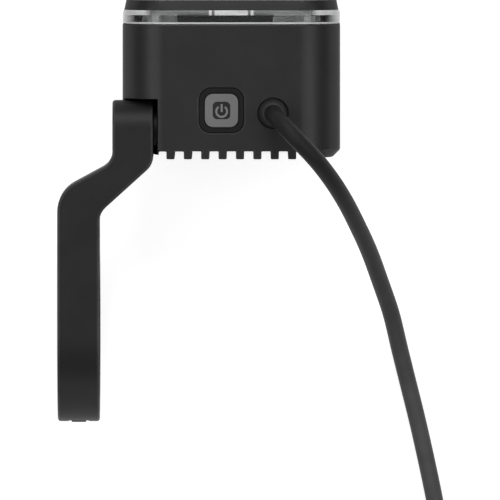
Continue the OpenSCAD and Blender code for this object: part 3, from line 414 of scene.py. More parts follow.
def shaded_mesh(name, bm):
    """A mesh that is shaded smooth, apart from its sharp edges."""
    for face in bm.faces:
        face.smooth = True
    for edge in bm.edges:
        edge.smooth = len(edge.link_faces) == 2 and edge.calc_face_angle(0.0) < SMOOTH_BELOW
    mesh = bpy.data.meshes.new(name)
    bm.to_mesh(mesh)
    bm.free()
    return mesh


def finish_piece(name, bm, material, body):
    """Turns a shape into a named piece that rides on a body and takes a finish."""
    piece = bpy.data.objects.new(name, shaded_mesh(name, bm))
    bpy.context.collection.objects.link(piece)
    piece.data.materials.append(material)
    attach(piece, body)
    return piece


def merged_copy(node):
    """A copy of a solid with its points joined and its level faces made whole."""
    bm = bmesh.new()
    bm.from_mesh(cad[node].data)
    bmesh.ops.remove_doubles(bm, verts=bm.verts, dist=MERGE_GAP)
    bmesh.ops.dissolve_limit(bm, angle_limit=LEVEL_BELOW, verts=bm.verts, edges=bm.edges)
    return bm


def pull_in(bm, node):
    """Brings a corner that a rounding pushed out of the solid back onto its face."""
    solid = cad[node].data
    faces = BVHTree.FromPolygons([v.co for v in solid.vertices], [p.vertices for p in solid.polygons])
    for vert in bm.verts:
        near, outward, _, away = faces.find_nearest(vert.co)
        if away > PULL_GAP and (vert.co - near).dot(outward) > 0:
            vert.co = near


def softened(node, radius, material, where=None, rounder=None, round_r=0.0):
    """A copy of a solid with its sharp edges rounded, some of them more, standing for that solid."""
    bm = merged_copy(node)
    # The rounded faces are marked to be painted paler, for wear and a painted edge highlight
    worn_highlit = bm.faces.layers.float.new("edge")

    def round_off(test, offset, segments):
        sharp_edges = [edge for edge in bm.edges
                       if len(edge.link_faces) == 2 and edge.calc_face_angle(0.0) > ROUND_ABOVE
                       and (test is None or test((edge.verts[0].co + edge.verts[1].co) / 2))]
        made = bmesh.ops.bevel(bm, geom=sharp_edges, offset=offset, offset_type="OFFSET", segments=segments,
                               profile=ROUND_PROFILE, affect="EDGES", clamp_overlap=False)
        for face in made["faces"]:
            face[worn_highlit] = 1.0
        bm.normal_update()

    if rounder:
        round_off(rounder, round_r, ROUNDER_SEGMENTS)
    round_off(where, radius, EDGE_SEGMENTS)
    pull_in(bm, node)
    piece = finish_piece(node + "_dressed", bm, material, body_of[node])
    weighted = piece.modifiers.new("even_shading", "WEIGHTED_NORMAL")
    weighted.keep_sharp = True
    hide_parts(node)
    return piece


def turned_shape(profile, axis, centre):
    """A turned solid: points of radius and height in mm, round or with a number of flats, carried round."""
    side = axis.orthogonal().normalized()
    other = axis.cross(side)
    bm = bmesh.new()
    rings = []
    for k in range(TURN_STEPS):
        angle = 2 * math.pi * k / TURN_STEPS
        way = math.cos(angle) * side + math.sin(angle) * other
        ring = []
        for radius, height, *flats in profile:
            if flats:
                sector = 2 * math.pi / flats[0]
                radius /= math.cos(angle % sector - sector / 2)
            ring.append(bm.verts.new(centre + (axis * height + way * radius) * MM))
        rings.append(ring)
    for ring, following in zip(rings, rings[1:] + rings[:1]):
        for i in range(len(profile)):
            n = (i + 1) % len(profile)
            bm.faces.new((ring[i], ring[n], following[n], following[i]))
    bmesh.ops.remove_doubles(bm, verts=bm.verts, dist=CUT_GAP)
    bmesh.ops.recalc_face_normals(bm, faces=bm.faces)
    return bm


def across_axis(node, axis):
    """The middle of a node's box, seen along an axis."""
    low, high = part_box(node)
    centre = (low + high) / 2
    return centre - axis * centre.dot(axis)


def turned(node, profile, axis, material):
    """A turned piece that stands for a node, on the node's own axis."""
    bm = turned_shape(profile, axis, across_axis(node, axis))
    piece = finish_piece(node + "_turned", bm, material, body_of[node])
    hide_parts(node)
    return piece


# Geometry Nodes helpers
RIB_SIDES = 12
THREAD_STEPS = 24
RIDGE_SIDES = 4


def shape_tree(name, *sizes):
    """A tree with a named input for each size, given as pairs of a name and a kind."""
    tree = bpy.data.node_groups.new(name, "GeometryNodeTree")
    tree.interface.new_socket("Shape", in_out="INPUT", socket_type="NodeSocketGeometry")
    for size, kind in sizes:
        tree.interface.new_socket(size, in_out="INPUT", socket_type="NodeSocket" + kind)
    tree.interface.new_socket("Shape", in_out="OUTPUT", socket_type="NodeSocketGeometry")
    return tree, add_node(tree, "NodeGroupInput").outputs


def link_in(tree, node, **sockets):
    for name, socket in sockets.items():
        tree.links.new(socket, node.inputs[name.replace("_", " ")])
    return node


def end_tree(tree, shape, finish):
    """Makes every copy in a tree real, gives it its finish and hands it out."""
    real = link_in(tree, add_node(tree, "GeometryNodeRealizeInstances"), Geometry=shape)
    dressed = link_in(tree, add_node(tree, "GeometryNodeSetMaterial"),
                      Geometry=real.outputs["Geometry"], Material=finish)
    link_in(tree, add_node(tree, "NodeGroupOutput"), Shape=dressed.outputs["Geometry"])


def grown(name, tree, node, sizes, start=None):
    """The piece that a tree makes with a set of sizes, riding where the given node rides."""
    piece = bpy.data.objects.new(name, start or bpy.data.meshes.new(name))
    bpy.context.collection.objects.link(piece)
    maker = piece.modifiers.new("maker", "NODES")
    maker.node_group = tree
    for item in tree.interface.items_tree:
        if item.in_out == "INPUT" and item.name in sizes:
            maker[item.identifier] = sizes[item.name]
    made = piece.evaluated_get(bpy.context.evaluated_depsgraph_get())
    mesh = bpy.data.meshes.new_from_object(made)
    piece.modifiers.remove(maker)
    piece.data = mesh
    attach(piece, body_of[node])
    return piece


def make_four_places():
    """Four copies of a piece at the corners of an upright rectangle."""
    tree, sizes = shape_tree("four_places", ("Piece", "Object"), ("Across", "Float"), ("Up", "Float"),
                             ("Centre", "Vector"), ("Finish", "Material"))
    corners = add_node(tree, "GeometryNodeMeshGrid", {"Vertices X": 2, "Vertices Y": 2})
    link_in(tree, corners, Size_X=sizes["Across"], Size_Y=sizes["Up"])
    upright = add_node(tree, "GeometryNodeTransform", {"Rotation": (math.pi / 2, 0, 0)})
    link_in(tree, upright, Geometry=corners.outputs["Mesh"], Translation=sizes["Centre"])
    pattern = link_in(tree, add_node(tree, "GeometryNodeObjectInfo"), Object=sizes["Piece"])
    placed = link_in(tree, add_node(tree, "GeometryNodeInstanceOnPoints"),
                     Points=upright.outputs["Geometry"], Instance=pattern.outputs["Geometry"])
    end_tree(tree, placed.outputs["Instances"], sizes["Finish"])
    return tree


def make_collar_ribs():
    """Round ribs along X, laid round a collar that the tree is given."""
    tree, sizes = shape_tree("collar_ribs", ("Count", "Int"), ("Circle", "Float"), ("Rib length", "Float"),
                             ("Rib radius", "Float"), ("Centre", "Vector"), ("Finish", "Material"))
    lie_along_x = {"Rotation": (0, math.pi / 2, 0)}
    circle = link_in(tree, add_node(tree, "GeometryNodeMeshCircle"),
                     Vertices=sizes["Count"], Radius=sizes["Circle"])
    places = link_in(tree, add_node(tree, "GeometryNodeTransform", lie_along_x),
                     Geometry=circle.outputs["Mesh"], Translation=sizes["Centre"])
    rod = link_in(tree, add_node(tree, "GeometryNodeMeshCylinder", {"Vertices": RIB_SIDES}),
                  Radius=sizes["Rib radius"], Depth=sizes["Rib length"])
    rib = link_in(tree, add_node(tree, "GeometryNodeTransform", lie_along_x), Geometry=rod.outputs["Mesh"])
    placed = link_in(tree, add_node(tree, "GeometryNodeInstanceOnPoints"),
                     Points=places.outputs["Geometry"], Instance=rib.outputs["Geometry"])
    both = link_in(tree, add_node(tree, "GeometryNodeJoinGeometry"), Geometry=placed.outputs["Instances"])
    link_in(tree, both, Geometry=sizes["Shape"])
    end_tree(tree, both.outputs["Geometry"], sizes["Finish"])
    return tree


def make_screw_thread():
    """A ridge that winds up round a core that the tree is given."""
    tree, sizes = shape_tree("screw_thread", ("Pitch", "Float"), ("Length", "Float"), ("Circle", "Float"),
                             ("Ridge", "Float"), ("Foot", "Vector"), ("Finish", "Material"))
    turns = calc(tree, "DIVIDE", sizes["Length"], sizes["Pitch"])
    winding = link_in(tree, add_node(tree, "GeometryNodeCurveSpiral", {"Resolution": THREAD_STEPS}),
                      Rotations=turns, Height=sizes["Length"],
                      Start_Radius=sizes["Circle"], End_Radius=sizes["Circle"])
    edge = link_in(tree, add_node(tree, "GeometryNodeCurvePrimitiveCircle", {"Resolution": RIDGE_SIDES}),
                   Radius=sizes["Ridge"])
    ridge = link_in(tree, add_node(tree, "GeometryNodeCurveToMesh", {"Fill Caps": True}),
                    Curve=winding.outputs["Curve"], Profile_Curve=edge.outputs["Curve"])
    placed = link_in(tree, add_node(tree, "GeometryNodeTransform"),
                     Geometry=ridge.outputs["Mesh"], Translation=sizes["Foot"])
    both = link_in(tree, add_node(tree, "GeometryNodeJoinGeometry"), Geometry=placed.outputs["Geometry"])
    link_in(tree, both, Geometry=sizes["Shape"])
    end_tree(tree, both.outputs["Geometry"], sizes["Finish"])
    return tree


four_places = make_four_places()
collar_ribs = make_collar_ribs()
screw_thread = make_screw_thread()


def four_of(name, node, bm, material, pitch_x, pitch_z):
    """Four copies of a shape about a node's middle, seen along the beam."""
    pattern = bpy.data.objects.new(name + "_pattern", shaded_mesh(name + "_pattern", bm))
    bpy.context.collection.objects.link(pattern)
    piece = grown(name, four_places, node, {
        "Piece": pattern, "Across": pitch_x, "Up": pitch_z, "Centre": across_axis(node, ALONG_Y),
        "Finish": material})
    bpy.data.objects.remove(pattern)
    return piece


# The lead: gland, over the rear edge, down to the table, coil, tail and plug
CABLE_R = 2.15 * MM
CABLE_SIDES = 20
PATH_STEP = 1.2 * MM
GLAND_X = 48.5
GLAND_Y = 54.95
COIL_X = 64.0
COIL_Y = -74.0
COIL_OUT_R = 27.5
COIL_PITCH = 4.8
COIL_LAYER_TURNS = 1.875
COIL_CLIMB_TURNS = 0.5
COIL_TURNS = 2 * COIL_LAYER_TURNS + COIL_CLIMB_TURNS
COIL_STEPS = 24
COIL_LOW_Z = -18.6
COIL_HIGH_Z = COIL_LOW_Z + COIL_PITCH
LEAD_IN = 4.2
PLUG_Y = COIL_Y - COIL_OUT_R
PLUG_Z = -16.2
free_route = [
    (GLAND_X, GLAND_Y, 16.4), (GLAND_X, GLAND_Y, 22), (GLAND_X, GLAND_Y, 27), (49.4, 54.1, 31.4),
    (51.6, 51.8, 34.4), (54.9, 48.3, 35.6), (59, 43.9, 33.9), (63.1, 38.5, 28.8), (66.5, 32.9, 21.8),
    (69.2, 27.5, 14.4), (72.5, 20.1, 4.6), (75.3, 12.3, -4.4), (78.2, 3.6, -11.6), (80.3, -5.2, -16.4),
    (82.4, -13.7, -18.7), (84.4, -21.7, -19.3), (86.6, -31.3, -19.3), (89, -42.7, -19.3),
    (90.4, -50.5, -19.2), (91.2, -58, -18.8), (91.5, -65, COIL_LOW_Z),
    (91.5, COIL_Y + LEAD_IN, COIL_LOW_Z)]
tail_route = [
    (COIL_X - LEAD_IN, PLUG_Y, COIL_HIGH_Z), (55, PLUG_Y, COIL_HIGH_Z), (48, PLUG_Y, -14.9),
    (42, PLUG_Y, PLUG_Z), (36, PLUG_Y, PLUG_Z)]


def coil_point(turns):
    """A point of the coil: inwards in the lower layer, up, and outwards in the upper layer."""
    climb = min(1.0, max(0.0, (turns - COIL_LAYER_TURNS) / COIL_CLIMB_TURNS))
    if turns <= COIL_LAYER_TURNS:
        radius = COIL_OUT_R - COIL_PITCH * turns
    elif turns >= COIL_LAYER_TURNS + COIL_CLIMB_TURNS:
        radius = COIL_OUT_R - COIL_PITCH * (COIL_TURNS - turns)
    else:
        inner = COIL_OUT_R - COIL_PITCH * COIL_LAYER_TURNS
        radius = inner - COIL_PITCH * COIL_CLIMB_TURNS * climb * (1 - climb)
    angle = -2 * math.pi * turns
    height = COIL_LOW_Z + (COIL_HIGH_Z - COIL_LOW_Z) * (1 - math.cos(math.pi * climb)) / 2
    return (COIL_X + radius * math.cos(angle), COIL_Y + radius * math.sin(angle), height)


def smooth_curve(points, step):
    """Points about a step apart on a curve that runs smoothly through the given points."""
    padded = [2 * points[0] - points[1], *points, 2 * points[-1] - points[-2]]
    made = []
    for before, start, end, after in zip(padded, padded[1:], padded[2:], padded[3:]):
        knots = [0.0]
        for a, b in ((before, start), (start, end), (end, after)):
            knots.append(knots[-1] + math.sqrt((b - a).length))
        count = max(1, round((end - start).length / step))
        for i in range(count):
            t = knots[1] + (knots[2] - knots[1]) * i / count
            a1 = before.lerp(start, (t - knots[0]) / (knots[1] - knots[0]))
            a2 = start.lerp(end, (t - knots[1]) / (knots[2] - knots[1]))
            a3 = end.lerp(after, (t - knots[2]) / (knots[3] - knots[2]))
            b1 = a1.lerp(a2, (t - knots[0]) / (knots[2] - knots[0]))
            b2 = a2.lerp(a3, (t - knots[1]) / (knots[3] - knots[1]))
            made.append(b1.lerp(b2, (t - knots[1]) / (knots[2] - knots[1])))
    made.append(points[-1].copy())
    return made


def swept_tube(path, radius, sides):
    """A closed round tube along a path, with a map that runs round it and along it."""
    bm = bmesh.new()
    ways = [(b - a).normalized() for a, b in zip(path, path[1:])]
    ways.append(ways[-1])
    side = ways[0].orthogonal().normalized()
    angles = [2 * math.pi * k / sides for k in range(sides)]
    rings = []
    for point, way in zip(path, ways):
        side = (side - way * side.dot(way)).normalized()
        other = way.cross(side)
        rim = [point + radius * (math.cos(a) * side + math.sin(a) * other) for a in angles]
        rings.append([bm.verts.new(corner) for corner in rim])
    chart = bm.loops.layers.uv.new("along")
    run = 0.0
    for i, (ring, following) in enumerate(zip(rings, rings[1:])):
        reach = run + (path[i + 1] - path[i]).length
        for k in range(sides):
            n = (k + 1) % sides
            face = bm.faces.new((ring[k], ring[n], following[n], following[k]))
            corners = ((k, run), (k + 1, run), (k + 1, reach), (k, reach))
            for loop, (across, along) in zip(face.loops, corners):
                loop[chart].uv = (across / sides, along)
        run = reach
    bm.faces.new(list(reversed(rings[0])))
    bm.faces.new(rings[-1])
    bmesh.ops.recalc_face_normals(bm, faces=bm.faces)
    return bm


PLUG_EDGE = 0.3
GRIP_FROM = 5.0
GRIP_GROOVES = 4
GRIP_STEP = 2.2
GROOVE_DEPTH = 0.4
GROOVE_SLOPE = 0.3
GROOVE_W = 1.2
RELIEF_LEN = 9.0
RELIEF_RINGS = 5
RELIEF_END_R = 2.9
RELIEF_DEPTH = 0.5
RELIEF_GAP = 0.5
RELIEF_SHOULDER = 0.4
RING_SLOPE = 0.1
RING_END = 0.15


def plug_grip():
    """The plug's body: grip grooves round it, then a tapered relief made of rings."""
    low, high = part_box("plug_body")
    front = low.x / MM
    rear = high.x / MM
    body_r = (high.z - low.z) / 2 / MM
    relief_from = rear - RELIEF_LEN
    ring_step = RELIEF_LEN / RELIEF_RINGS
    profile = [(0, front), (body_r - PLUG_EDGE, front), (body_r, front + PLUG_EDGE)]
    for i in range(GRIP_GROOVES):
        at = front + GRIP_FROM + GRIP_STEP * i
        end = at + GROOVE_W
        floor_r = body_r - GROOVE_DEPTH
        profile += [(body_r, at), (floor_r, at + GROOVE_SLOPE), (floor_r, end - GROOVE_SLOPE), (body_r, end)]
    profile.append((body_r, relief_from - RELIEF_SHOULDER))
    for i in range(RELIEF_RINGS):
        at = relief_from + ring_step * i
        ring_r = body_r + (RELIEF_END_R - body_r) * (i + 1) / RELIEF_RINGS
        floor_r = ring_r - RELIEF_DEPTH
        profile += [(floor_r, at), (floor_r, at + RELIEF_GAP),
                    (ring_r, at + RELIEF_GAP + RING_SLOPE), (ring_r, at + ring_step - RING_END)]
    profile += [(RELIEF_END_R - PLUG_EDGE, rear), (0, rear)]
    return turned("plug_body", profile, ALONG_X, rubber_finish)


COLLAR_BORE_R = 4.3
COLLAR_LAP_R = 4.45
COLLAR_STEP_X = 11.95
COLLAR_EDGE = 0.2
COLLAR_RIBS = 32
RIB_R = 0.22
RIB_END_GAP = 0.8


def plug_ring():
    """The plug's screw ring with grip ribs round it."""
    low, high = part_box("plug_collar")
    front = low.x / MM
    rear = high.x / MM
    ring_r = (high.z - low.z) / 2 / MM - RIB_R
    edge_r = ring_r - COLLAR_EDGE
    profile = [(COLLAR_LAP_R, rear), (edge_r, rear), (ring_r, rear - COLLAR_EDGE),
               (ring_r, front + COLLAR_EDGE), (edge_r, front), (COLLAR_BORE_R, front),
               (COLLAR_BORE_R, COLLAR_STEP_X), (COLLAR_LAP_R, COLLAR_STEP_X)]
    centre = across_axis("plug_collar", ALONG_X)
    core = shaded_mesh("plug_collar_core", turned_shape(profile, ALONG_X, centre))
    piece = grown("plug_collar_ribbed", collar_ribs, "plug_collar", {
        "Count": COLLAR_RIBS, "Circle": ring_r * MM, "Rib length": (rear - front - 2 * RIB_END_GAP) * MM,
        "Rib radius": RIB_R * MM, "Centre": (low + high) / 2, "Finish": dark_plastic_finish}, start=core)
    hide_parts("plug_collar")
    return piece


TIE_EDGE_R = 0.2 * MM
NOSE_EDGE_R = 0.2 * MM
CONTACT_EDGE_R = 0.12 * MM


def make_lead():
    turns = [coil_point(i / COIL_STEPS) for i in range(round(COIL_TURNS * COIL_STEPS) + 1)]
    route = [Vector(point) * MM for point in free_route + turns + tail_route]
    path = smooth_curve(route, PATH_STEP)
    lead = finish_piece("lead", swept_tube(path, CABLE_R, CABLE_SIDES), cable_finish, "lamp")
    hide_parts("cable", "cable_coil", "cable_tail")
    on_lead = [
        softened("cable_tie", TIE_EDGE_R, webbing_finish), plug_grip(), plug_ring(),
        softened("plug_nose", NOSE_EDGE_R, dark_plastic_finish),
        softened("plug_contacts", CONTACT_EDGE_R, brass_finish)]


make_lead()

# The gland's rubber collar with its rounded lip: radius and height in mm
gland_profile = [
    (2.2, 16.4), (2.9, 16.4), (2.9, 22.0), (3.3, 22.05), (3.38, 22.6), (3.34, 23.2),
    (3.15, 23.9), (2.85, 24.5), (2.5, 24.9), (2.2, 25.0)]
turned("cable_gland", gland_profile, ALONG_Z, gland_finish)

# The die-cast body and the bezel
BODY_CORNER_R = 10.5 * MM
BODY_REAR_Y = 46.5 * MM
BODY_EDGE_R = 0.3 * MM
BEZEL_EDGE_R = 0.1 * MM
OUTLINE_GAP = 0.06 * MM
GLAND_SEAT_R = 3.6 * MM
GLAND_SEAT_GAP = 0.1 * MM
GLAND_MOUTH_R = 0.55 * MM


def outline_test(node):
    """A test for points on the rounded outline that a piece of the lamp shows from the front."""
    low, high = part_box(node)
    middle = (low + high) / 2
    half = (high - low) / 2

    def on_outline(point):
        dx = max(abs(point.x - middle.x) - half.x + BODY_CORNER_R, 0.0)
        dz = max(abs(point.z - middle.z) - half.z + BODY_CORNER_R, 0.0)
        return abs(math.hypot(dx, dz) - BODY_CORNER_R) < OUTLINE_GAP

    return on_outline


def make_body():
    on_outline = outline_test("housing")
    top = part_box("housing")[1].z
    gland = across_axis("cable_gland", ALONG_Z)

    def by_gland(point):
        away = (point.xy - gland.xy).length
        return abs(away - GLAND_SEAT_R) < GLAND_SEAT_GAP and abs(point.z - top) < TOUCH_GAP

    def outside(point):
        return on_outline(point) or point.y < BODY_REAR_Y

    softened("housing", BODY_EDGE_R, housing_finish, where=outside, rounder=by_gland, round_r=GLAND_MOUTH_R)
    softened("bezel", BEZEL_EDGE_R, housing_finish)


make_body()

# The clear front: its edge tapers to the bezel, its rear corner is rounded, its screw posts are painted dark
# as shade and as the dark screw seen through them
LENS_EDGE_T = 3.55 * MM
TAPER_RUN = 1.2 * MM
TAPER_IN = 0.33 * MM
REAR_ROUND = 0.6 * MM
REAR_HAZE = 0.75
RIM_HAZE = 0.5
SCREW_HEAD_R = 1.9 * MM
LENS_HOLE_R = 1.35 * MM
LENS_POST_R = 2.6 * MM
POST_GAP = 0.05 * MM
UPRIGHT_BELOW = 0.5


def screw_places():
    """Where each bezel screw is, across and up."""
    low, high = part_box("bezel_screws")
    return [(x, z) for x in (low.x + SCREW_HEAD_R, high.x - SCREW_HEAD_R)
            for z in (low.z + SCREW_HEAD_R, high.z - SCREW_HEAD_R)]


def make_lens():
    low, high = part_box("front_lens")
    middle = (low + high) / 2
    half = (high - low) / 2
    rear = low.y
    front = rear + LENS_EDGE_T

    def at(point, y):
        return abs(point.y - y) < TOUCH_GAP

    on_outline = outline_test("front_lens")
    bm = merged_copy("front_lens")
    land = bm.faces.layers.float.new("land")
    haze = bm.faces.layers.float.new("haze")
    bmesh.ops.bisect_plane(bm, geom=[*bm.verts, *bm.edges, *bm.faces], dist=CUT_GAP,
                           plane_co=(0, front - TAPER_RUN, 0), plane_no=(0, 1, 0))
    for vert in bm.verts:
        if at(vert.co, front) and on_outline(vert.co):
            vert.co.x = middle.x + (vert.co.x - middle.x) * (1 - TAPER_IN / half.x)
            vert.co.z = middle.z + (vert.co.z - middle.z) * (1 - TAPER_IN / half.z)
            for face in vert.link_faces:
                if abs(face.normal.y) < UPRIGHT_BELOW:
                    face[land] = 1.0
    rear_edges = [edge for edge in bm.edges if all(at(v.co, rear) and on_outline(v.co) for v in edge.verts)]
    made = bmesh.ops.bevel(bm, geom=rear_edges, offset=REAR_ROUND, offset_type="OFFSET",
                           segments=EDGE_SEGMENTS, profile=ROUND_PROFILE, affect="EDGES",
                           clamp_overlap=False)
    for face in made["faces"]:
        face[land] = 1.0
        face[haze] = REAR_HAZE
    bm.normal_update()
    screws_at = screw_places()
    for face in bm.faces:
        centre = face.calc_center_median()
        upright = abs(face.normal.y) < UPRIGHT_BELOW
        if upright and centre.y > front:
            face[haze] = RIM_HAZE
        away = min(math.hypot(centre.x - x, centre.z - z) for x, z in screws_at)
        if upright and away < LENS_POST_R + POST_GAP:
            across = min(abs(centre.x - x) for x, _ in screws_at)
            # Painted shade: post faces next to the screw take the dark finish
            face.material_index = 1 if across < LENS_HOLE_R + POST_GAP else 2
    piece = finish_piece("front_lens_dressed", bm, lens_finish, "lamp")
    piece.data.materials.append(post_shade_finish)
    piece.data.materials.append(grey_plastic_finish)
    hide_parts("front_lens")


make_lens()

# Socket screws of the bezel, in mm. The head's edge is points in from its side and down from its face.
SOCKET_SIDES = 6
SOCKET_HALF = 0.85
SOCKET_DEPTH = 1.1
SOCKET_LIP = 0.15
SOCKET_FLARE = 0.2
SOCKET_CONE = 0.1
HEAD_T = 1.6
HEAD_UNDERCUT = 0.05
HEAD_EDGE = ((0.25, 0.0), (0.06, 0.1), (0.0, 0.3))
SCREW_R = 1.25
SCREW_POINT = 0.4


def make_bezel_screws():
    low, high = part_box("bezel_screws")
    face_y = high.y / MM
    tip_y = low.y / MM
    head_r = SCREW_HEAD_R / MM
    floor_y = face_y - SOCKET_DEPTH
    profile = [(0, floor_y - SOCKET_CONE), (SOCKET_HALF, floor_y, SOCKET_SIDES),
               (SOCKET_HALF, face_y - SOCKET_LIP, SOCKET_SIDES), (SOCKET_HALF + SOCKET_FLARE, face_y),
               *[(head_r - inwards, face_y - down) for inwards, down in HEAD_EDGE],
               (head_r, face_y - HEAD_T), (SCREW_R, face_y - HEAD_T - HEAD_UNDERCUT),
               (SCREW_R, tip_y + SCREW_POINT), (SCREW_R - SCREW_POINT, tip_y), (0, tip_y)]
    piece = four_of("bezel_screw_set", "bezel_screws", turned_shape(profile, ALONG_Y, Vector()),
                    black_steel_finish, high.x - low.x - 2 * SCREW_HEAD_R, high.z - low.z - 2 * SCREW_HEAD_R)
    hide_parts("bezel_screws")


make_bezel_screws()

# Optics: four emitters with their domes, and a moulded lens in front of each
LED_W = 3.4 * MM
LED_T = 0.6 * MM
LED_ROUND = 0.1 * MM
DIE_W = 1.7 * MM
DIE_T = 0.06 * MM
DIE_ROUND = 0.02 * MM
DOME_R = 1.1
DOME_STEPS = 10
CAVITY_R = 1.45
CAVITY_STEPS = 6
OPTIC_REAR_R = 2.4
OPTIC_FRONT_R = 5.3
OPTIC_BEND = 0.7
OPTIC_STEPS = 8
PLATE_T = 1.2
FLANGE_HALF = 5.47
FLANGE_SIDES = 4
FACE_DROP = 0.05
RIM_W = 0.4
RIM_RISE = 0.13
HOLLOW = 0.07
HOLLOW_EDGE = 0.1
FRONT_DOME_R = 2.6
FRONT_DOME_H = 0.14


def block(size, foot, rounding):
    """A block on a foot point, its other end along the beam, with rounded edges."""
    bm = bmesh.new()
    bmesh.ops.create_cube(bm, size=1.0)
    bmesh.ops.scale(bm, vec=size, verts=bm.verts)
    bmesh.ops.translate(bm, vec=foot + ALONG_Y * size.y / 2, verts=bm.verts)
    bmesh.ops.bevel(bm, geom=bm.edges[:], offset=rounding, offset_type="OFFSET", segments=EDGE_SEGMENTS,
                    profile=ROUND_PROFILE, affect="EDGES", clamp_overlap=True)
    return bm


def quarter_round(radius, foot, count):
    """Points of a quarter circle that rises from its foot, from the rim to the axis."""
    angles = [k * math.pi / 2 / count for k in range(count + 1)]
    return [(radius * math.cos(a), foot + radius * math.sin(a)) for a in angles]


def make_emitters():
    low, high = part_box("led_emitters")
    pitch = high.x - low.x - LED_W
    die_foot = low.y + LED_T
    dome_foot = (die_foot + DIE_T) / MM
    base = block(Vector((LED_W, LED_T, LED_W)), ALONG_Y * low.y, LED_ROUND)
    bases = four_of("led_bases", "led_emitters", base, ceramic_finish, pitch, pitch)
    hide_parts("led_emitters")
    die = block(Vector((DIE_W, DIE_T, DIE_W)), ALONG_Y * die_foot, DIE_ROUND)
    four_of("led_dies", "led_emitters", die, phosphor_finish, pitch, pitch)
    dome_profile = [(0, dome_foot), *quarter_round(DOME_R, dome_foot, DOME_STEPS)]
    dome = turned_shape(dome_profile, ALONG_Y, Vector())
    four_of("led_domes", "collimator", dome, optic_finish, pitch, pitch)


def make_collimator():
    low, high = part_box("collimator")
    rear = low.y / MM
    front = high.y / MM
    plate = front - PLATE_T
    face = front - FACE_DROP
    profile = list(reversed(quarter_round(CAVITY_R, rear, CAVITY_STEPS)))
    for i in range(OPTIC_STEPS + 1):
        share = i / OPTIC_STEPS
        radius = OPTIC_REAR_R + (OPTIC_FRONT_R - OPTIC_REAR_R) * share ** OPTIC_BEND
        profile.append((radius, rear + (plate - rear) * share))
    profile += [(FLANGE_HALF, plate, FLANGE_SIDES), (FLANGE_HALF, face, FLANGE_SIDES),
                (OPTIC_FRONT_R, face), (OPTIC_FRONT_R - RIM_W / 2, face + RIM_RISE),
                (OPTIC_FRONT_R - RIM_W, face), (FRONT_DOME_R + HOLLOW_EDGE, face - HOLLOW)]
    for i in range(OPTIC_STEPS + 1):
        share = i / OPTIC_STEPS
        profile.append((FRONT_DOME_R * (1 - share), face + FRONT_DOME_H * (1 - (1 - share) ** 2)))
    piece = four_of("collimator_lenses", "collimator", turned_shape(profile, ALONG_Y, Vector()), optic_finish,
                    (high.x - low.x) / 2, (high.z - low.z) / 2)
    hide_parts("collimator")


make_emitters()
make_collimator()

# Pieces that keep the solid's shape and get rounded edges, with a radius in mm
for node, radius, material in (
        ("optic_holder", 0.12, dark_plastic_finish), ("button_cap", 0.25, cap_finish),
        ("button_surround", 0.15, surround_finish), ("arm", 0.65, arm_finish),
        ("jaw", 0.2, arm_finish), ("upper_liner", 0.2, ribbed_finish),
        ("lower_liner", 0.2, ribbed_finish), ("tilt_bolt", 0.2, black_steel_finish),
        ("tilt_head_washer", 0.1, steel_finish), ("tilt_washer", 0.12, dark_plastic_finish),
        ("hinge_pin", 0.25, steel_finish), ("clamp_screw", 0.25, steel_finish)):
    softened(node, radius * MM, material)

# The clamp screw's thread
THREAD_PITCH = 0.7 * MM
THREAD_RIDGE = 0.28 * MM
THREAD_END = 1.5 * THREAD_RIDGE
SHANK_POINT = 0.5


def make_thread():
    low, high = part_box("clamp_shank")
    core_r = (high.x - low.x) / 2 - THREAD_RIDGE
    round_r = core_r / MM
    foot = low.z / MM
    tip = high.z / MM
    profile = [(0, foot), (round_r, foot), (round_r, tip - SHANK_POINT), (round_r - SHANK_POINT, tip),
               (0, tip)]
    centre = across_axis("clamp_shank", ALONG_Z)
    core = shaded_mesh("clamp_shank_core", turned_shape(profile, ALONG_Z, centre))
    piece = grown("clamp_shank_thread", screw_thread, "clamp_shank", {
        "Pitch": THREAD_PITCH, "Length": high.z - low.z - 2 * THREAD_END, "Circle": core_r,
        "Ridge": THREAD_RIDGE, "Foot": centre + ALONG_Z * (low.z + THREAD_END),
        "Finish": steel_finish}, start=core)
    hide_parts("clamp_shank")


make_thread()

# Pieces inside the lamp and the plate of the button's symbol keep their solids
for node, material in {
    "front_mask": grey_plastic_finish, "lens_gasket": rubber_finish, "led_board": aluminium_finish,
    "led_board_screws": steel_finish, "thermal_pad": pad_finish, "heat_spreader": aluminium_finish,
    "spreader_screws": steel_finish, "driver_board": board_finish, "driver_parts": dark_plastic_finish,
    "led_wires": wire_finish, "supply_wires": wire_finish, "switch_board": board_finish,
    "switch_screws": steel_finish, "tact_switch": dark_plastic_finish, "button_icon": dark_plastic_finish,
    "switch_plunger": dark_plastic_finish, "gland_nut": steel_finish, "tilt_insert": brass_finish,
}.items():
    slots = cad[node].data.materials
    slots.clear()
    slots.append(material)


# Power symbol on the button
SYMBOL_R = 1.35 * MM
SYMBOL_HALF_STROKE = 0.24 * MM
SYMBOL_GAP = math.radians(35)
SYMBOL_RISE = 0.04 * MM
SYMBOL_STEPS = 40
SYMBOL_SHIFT = Vector((0.05, -0.22)) * MM
BAR_FROM = -0.15 * MM
BAR_TO = 1.85 * MM


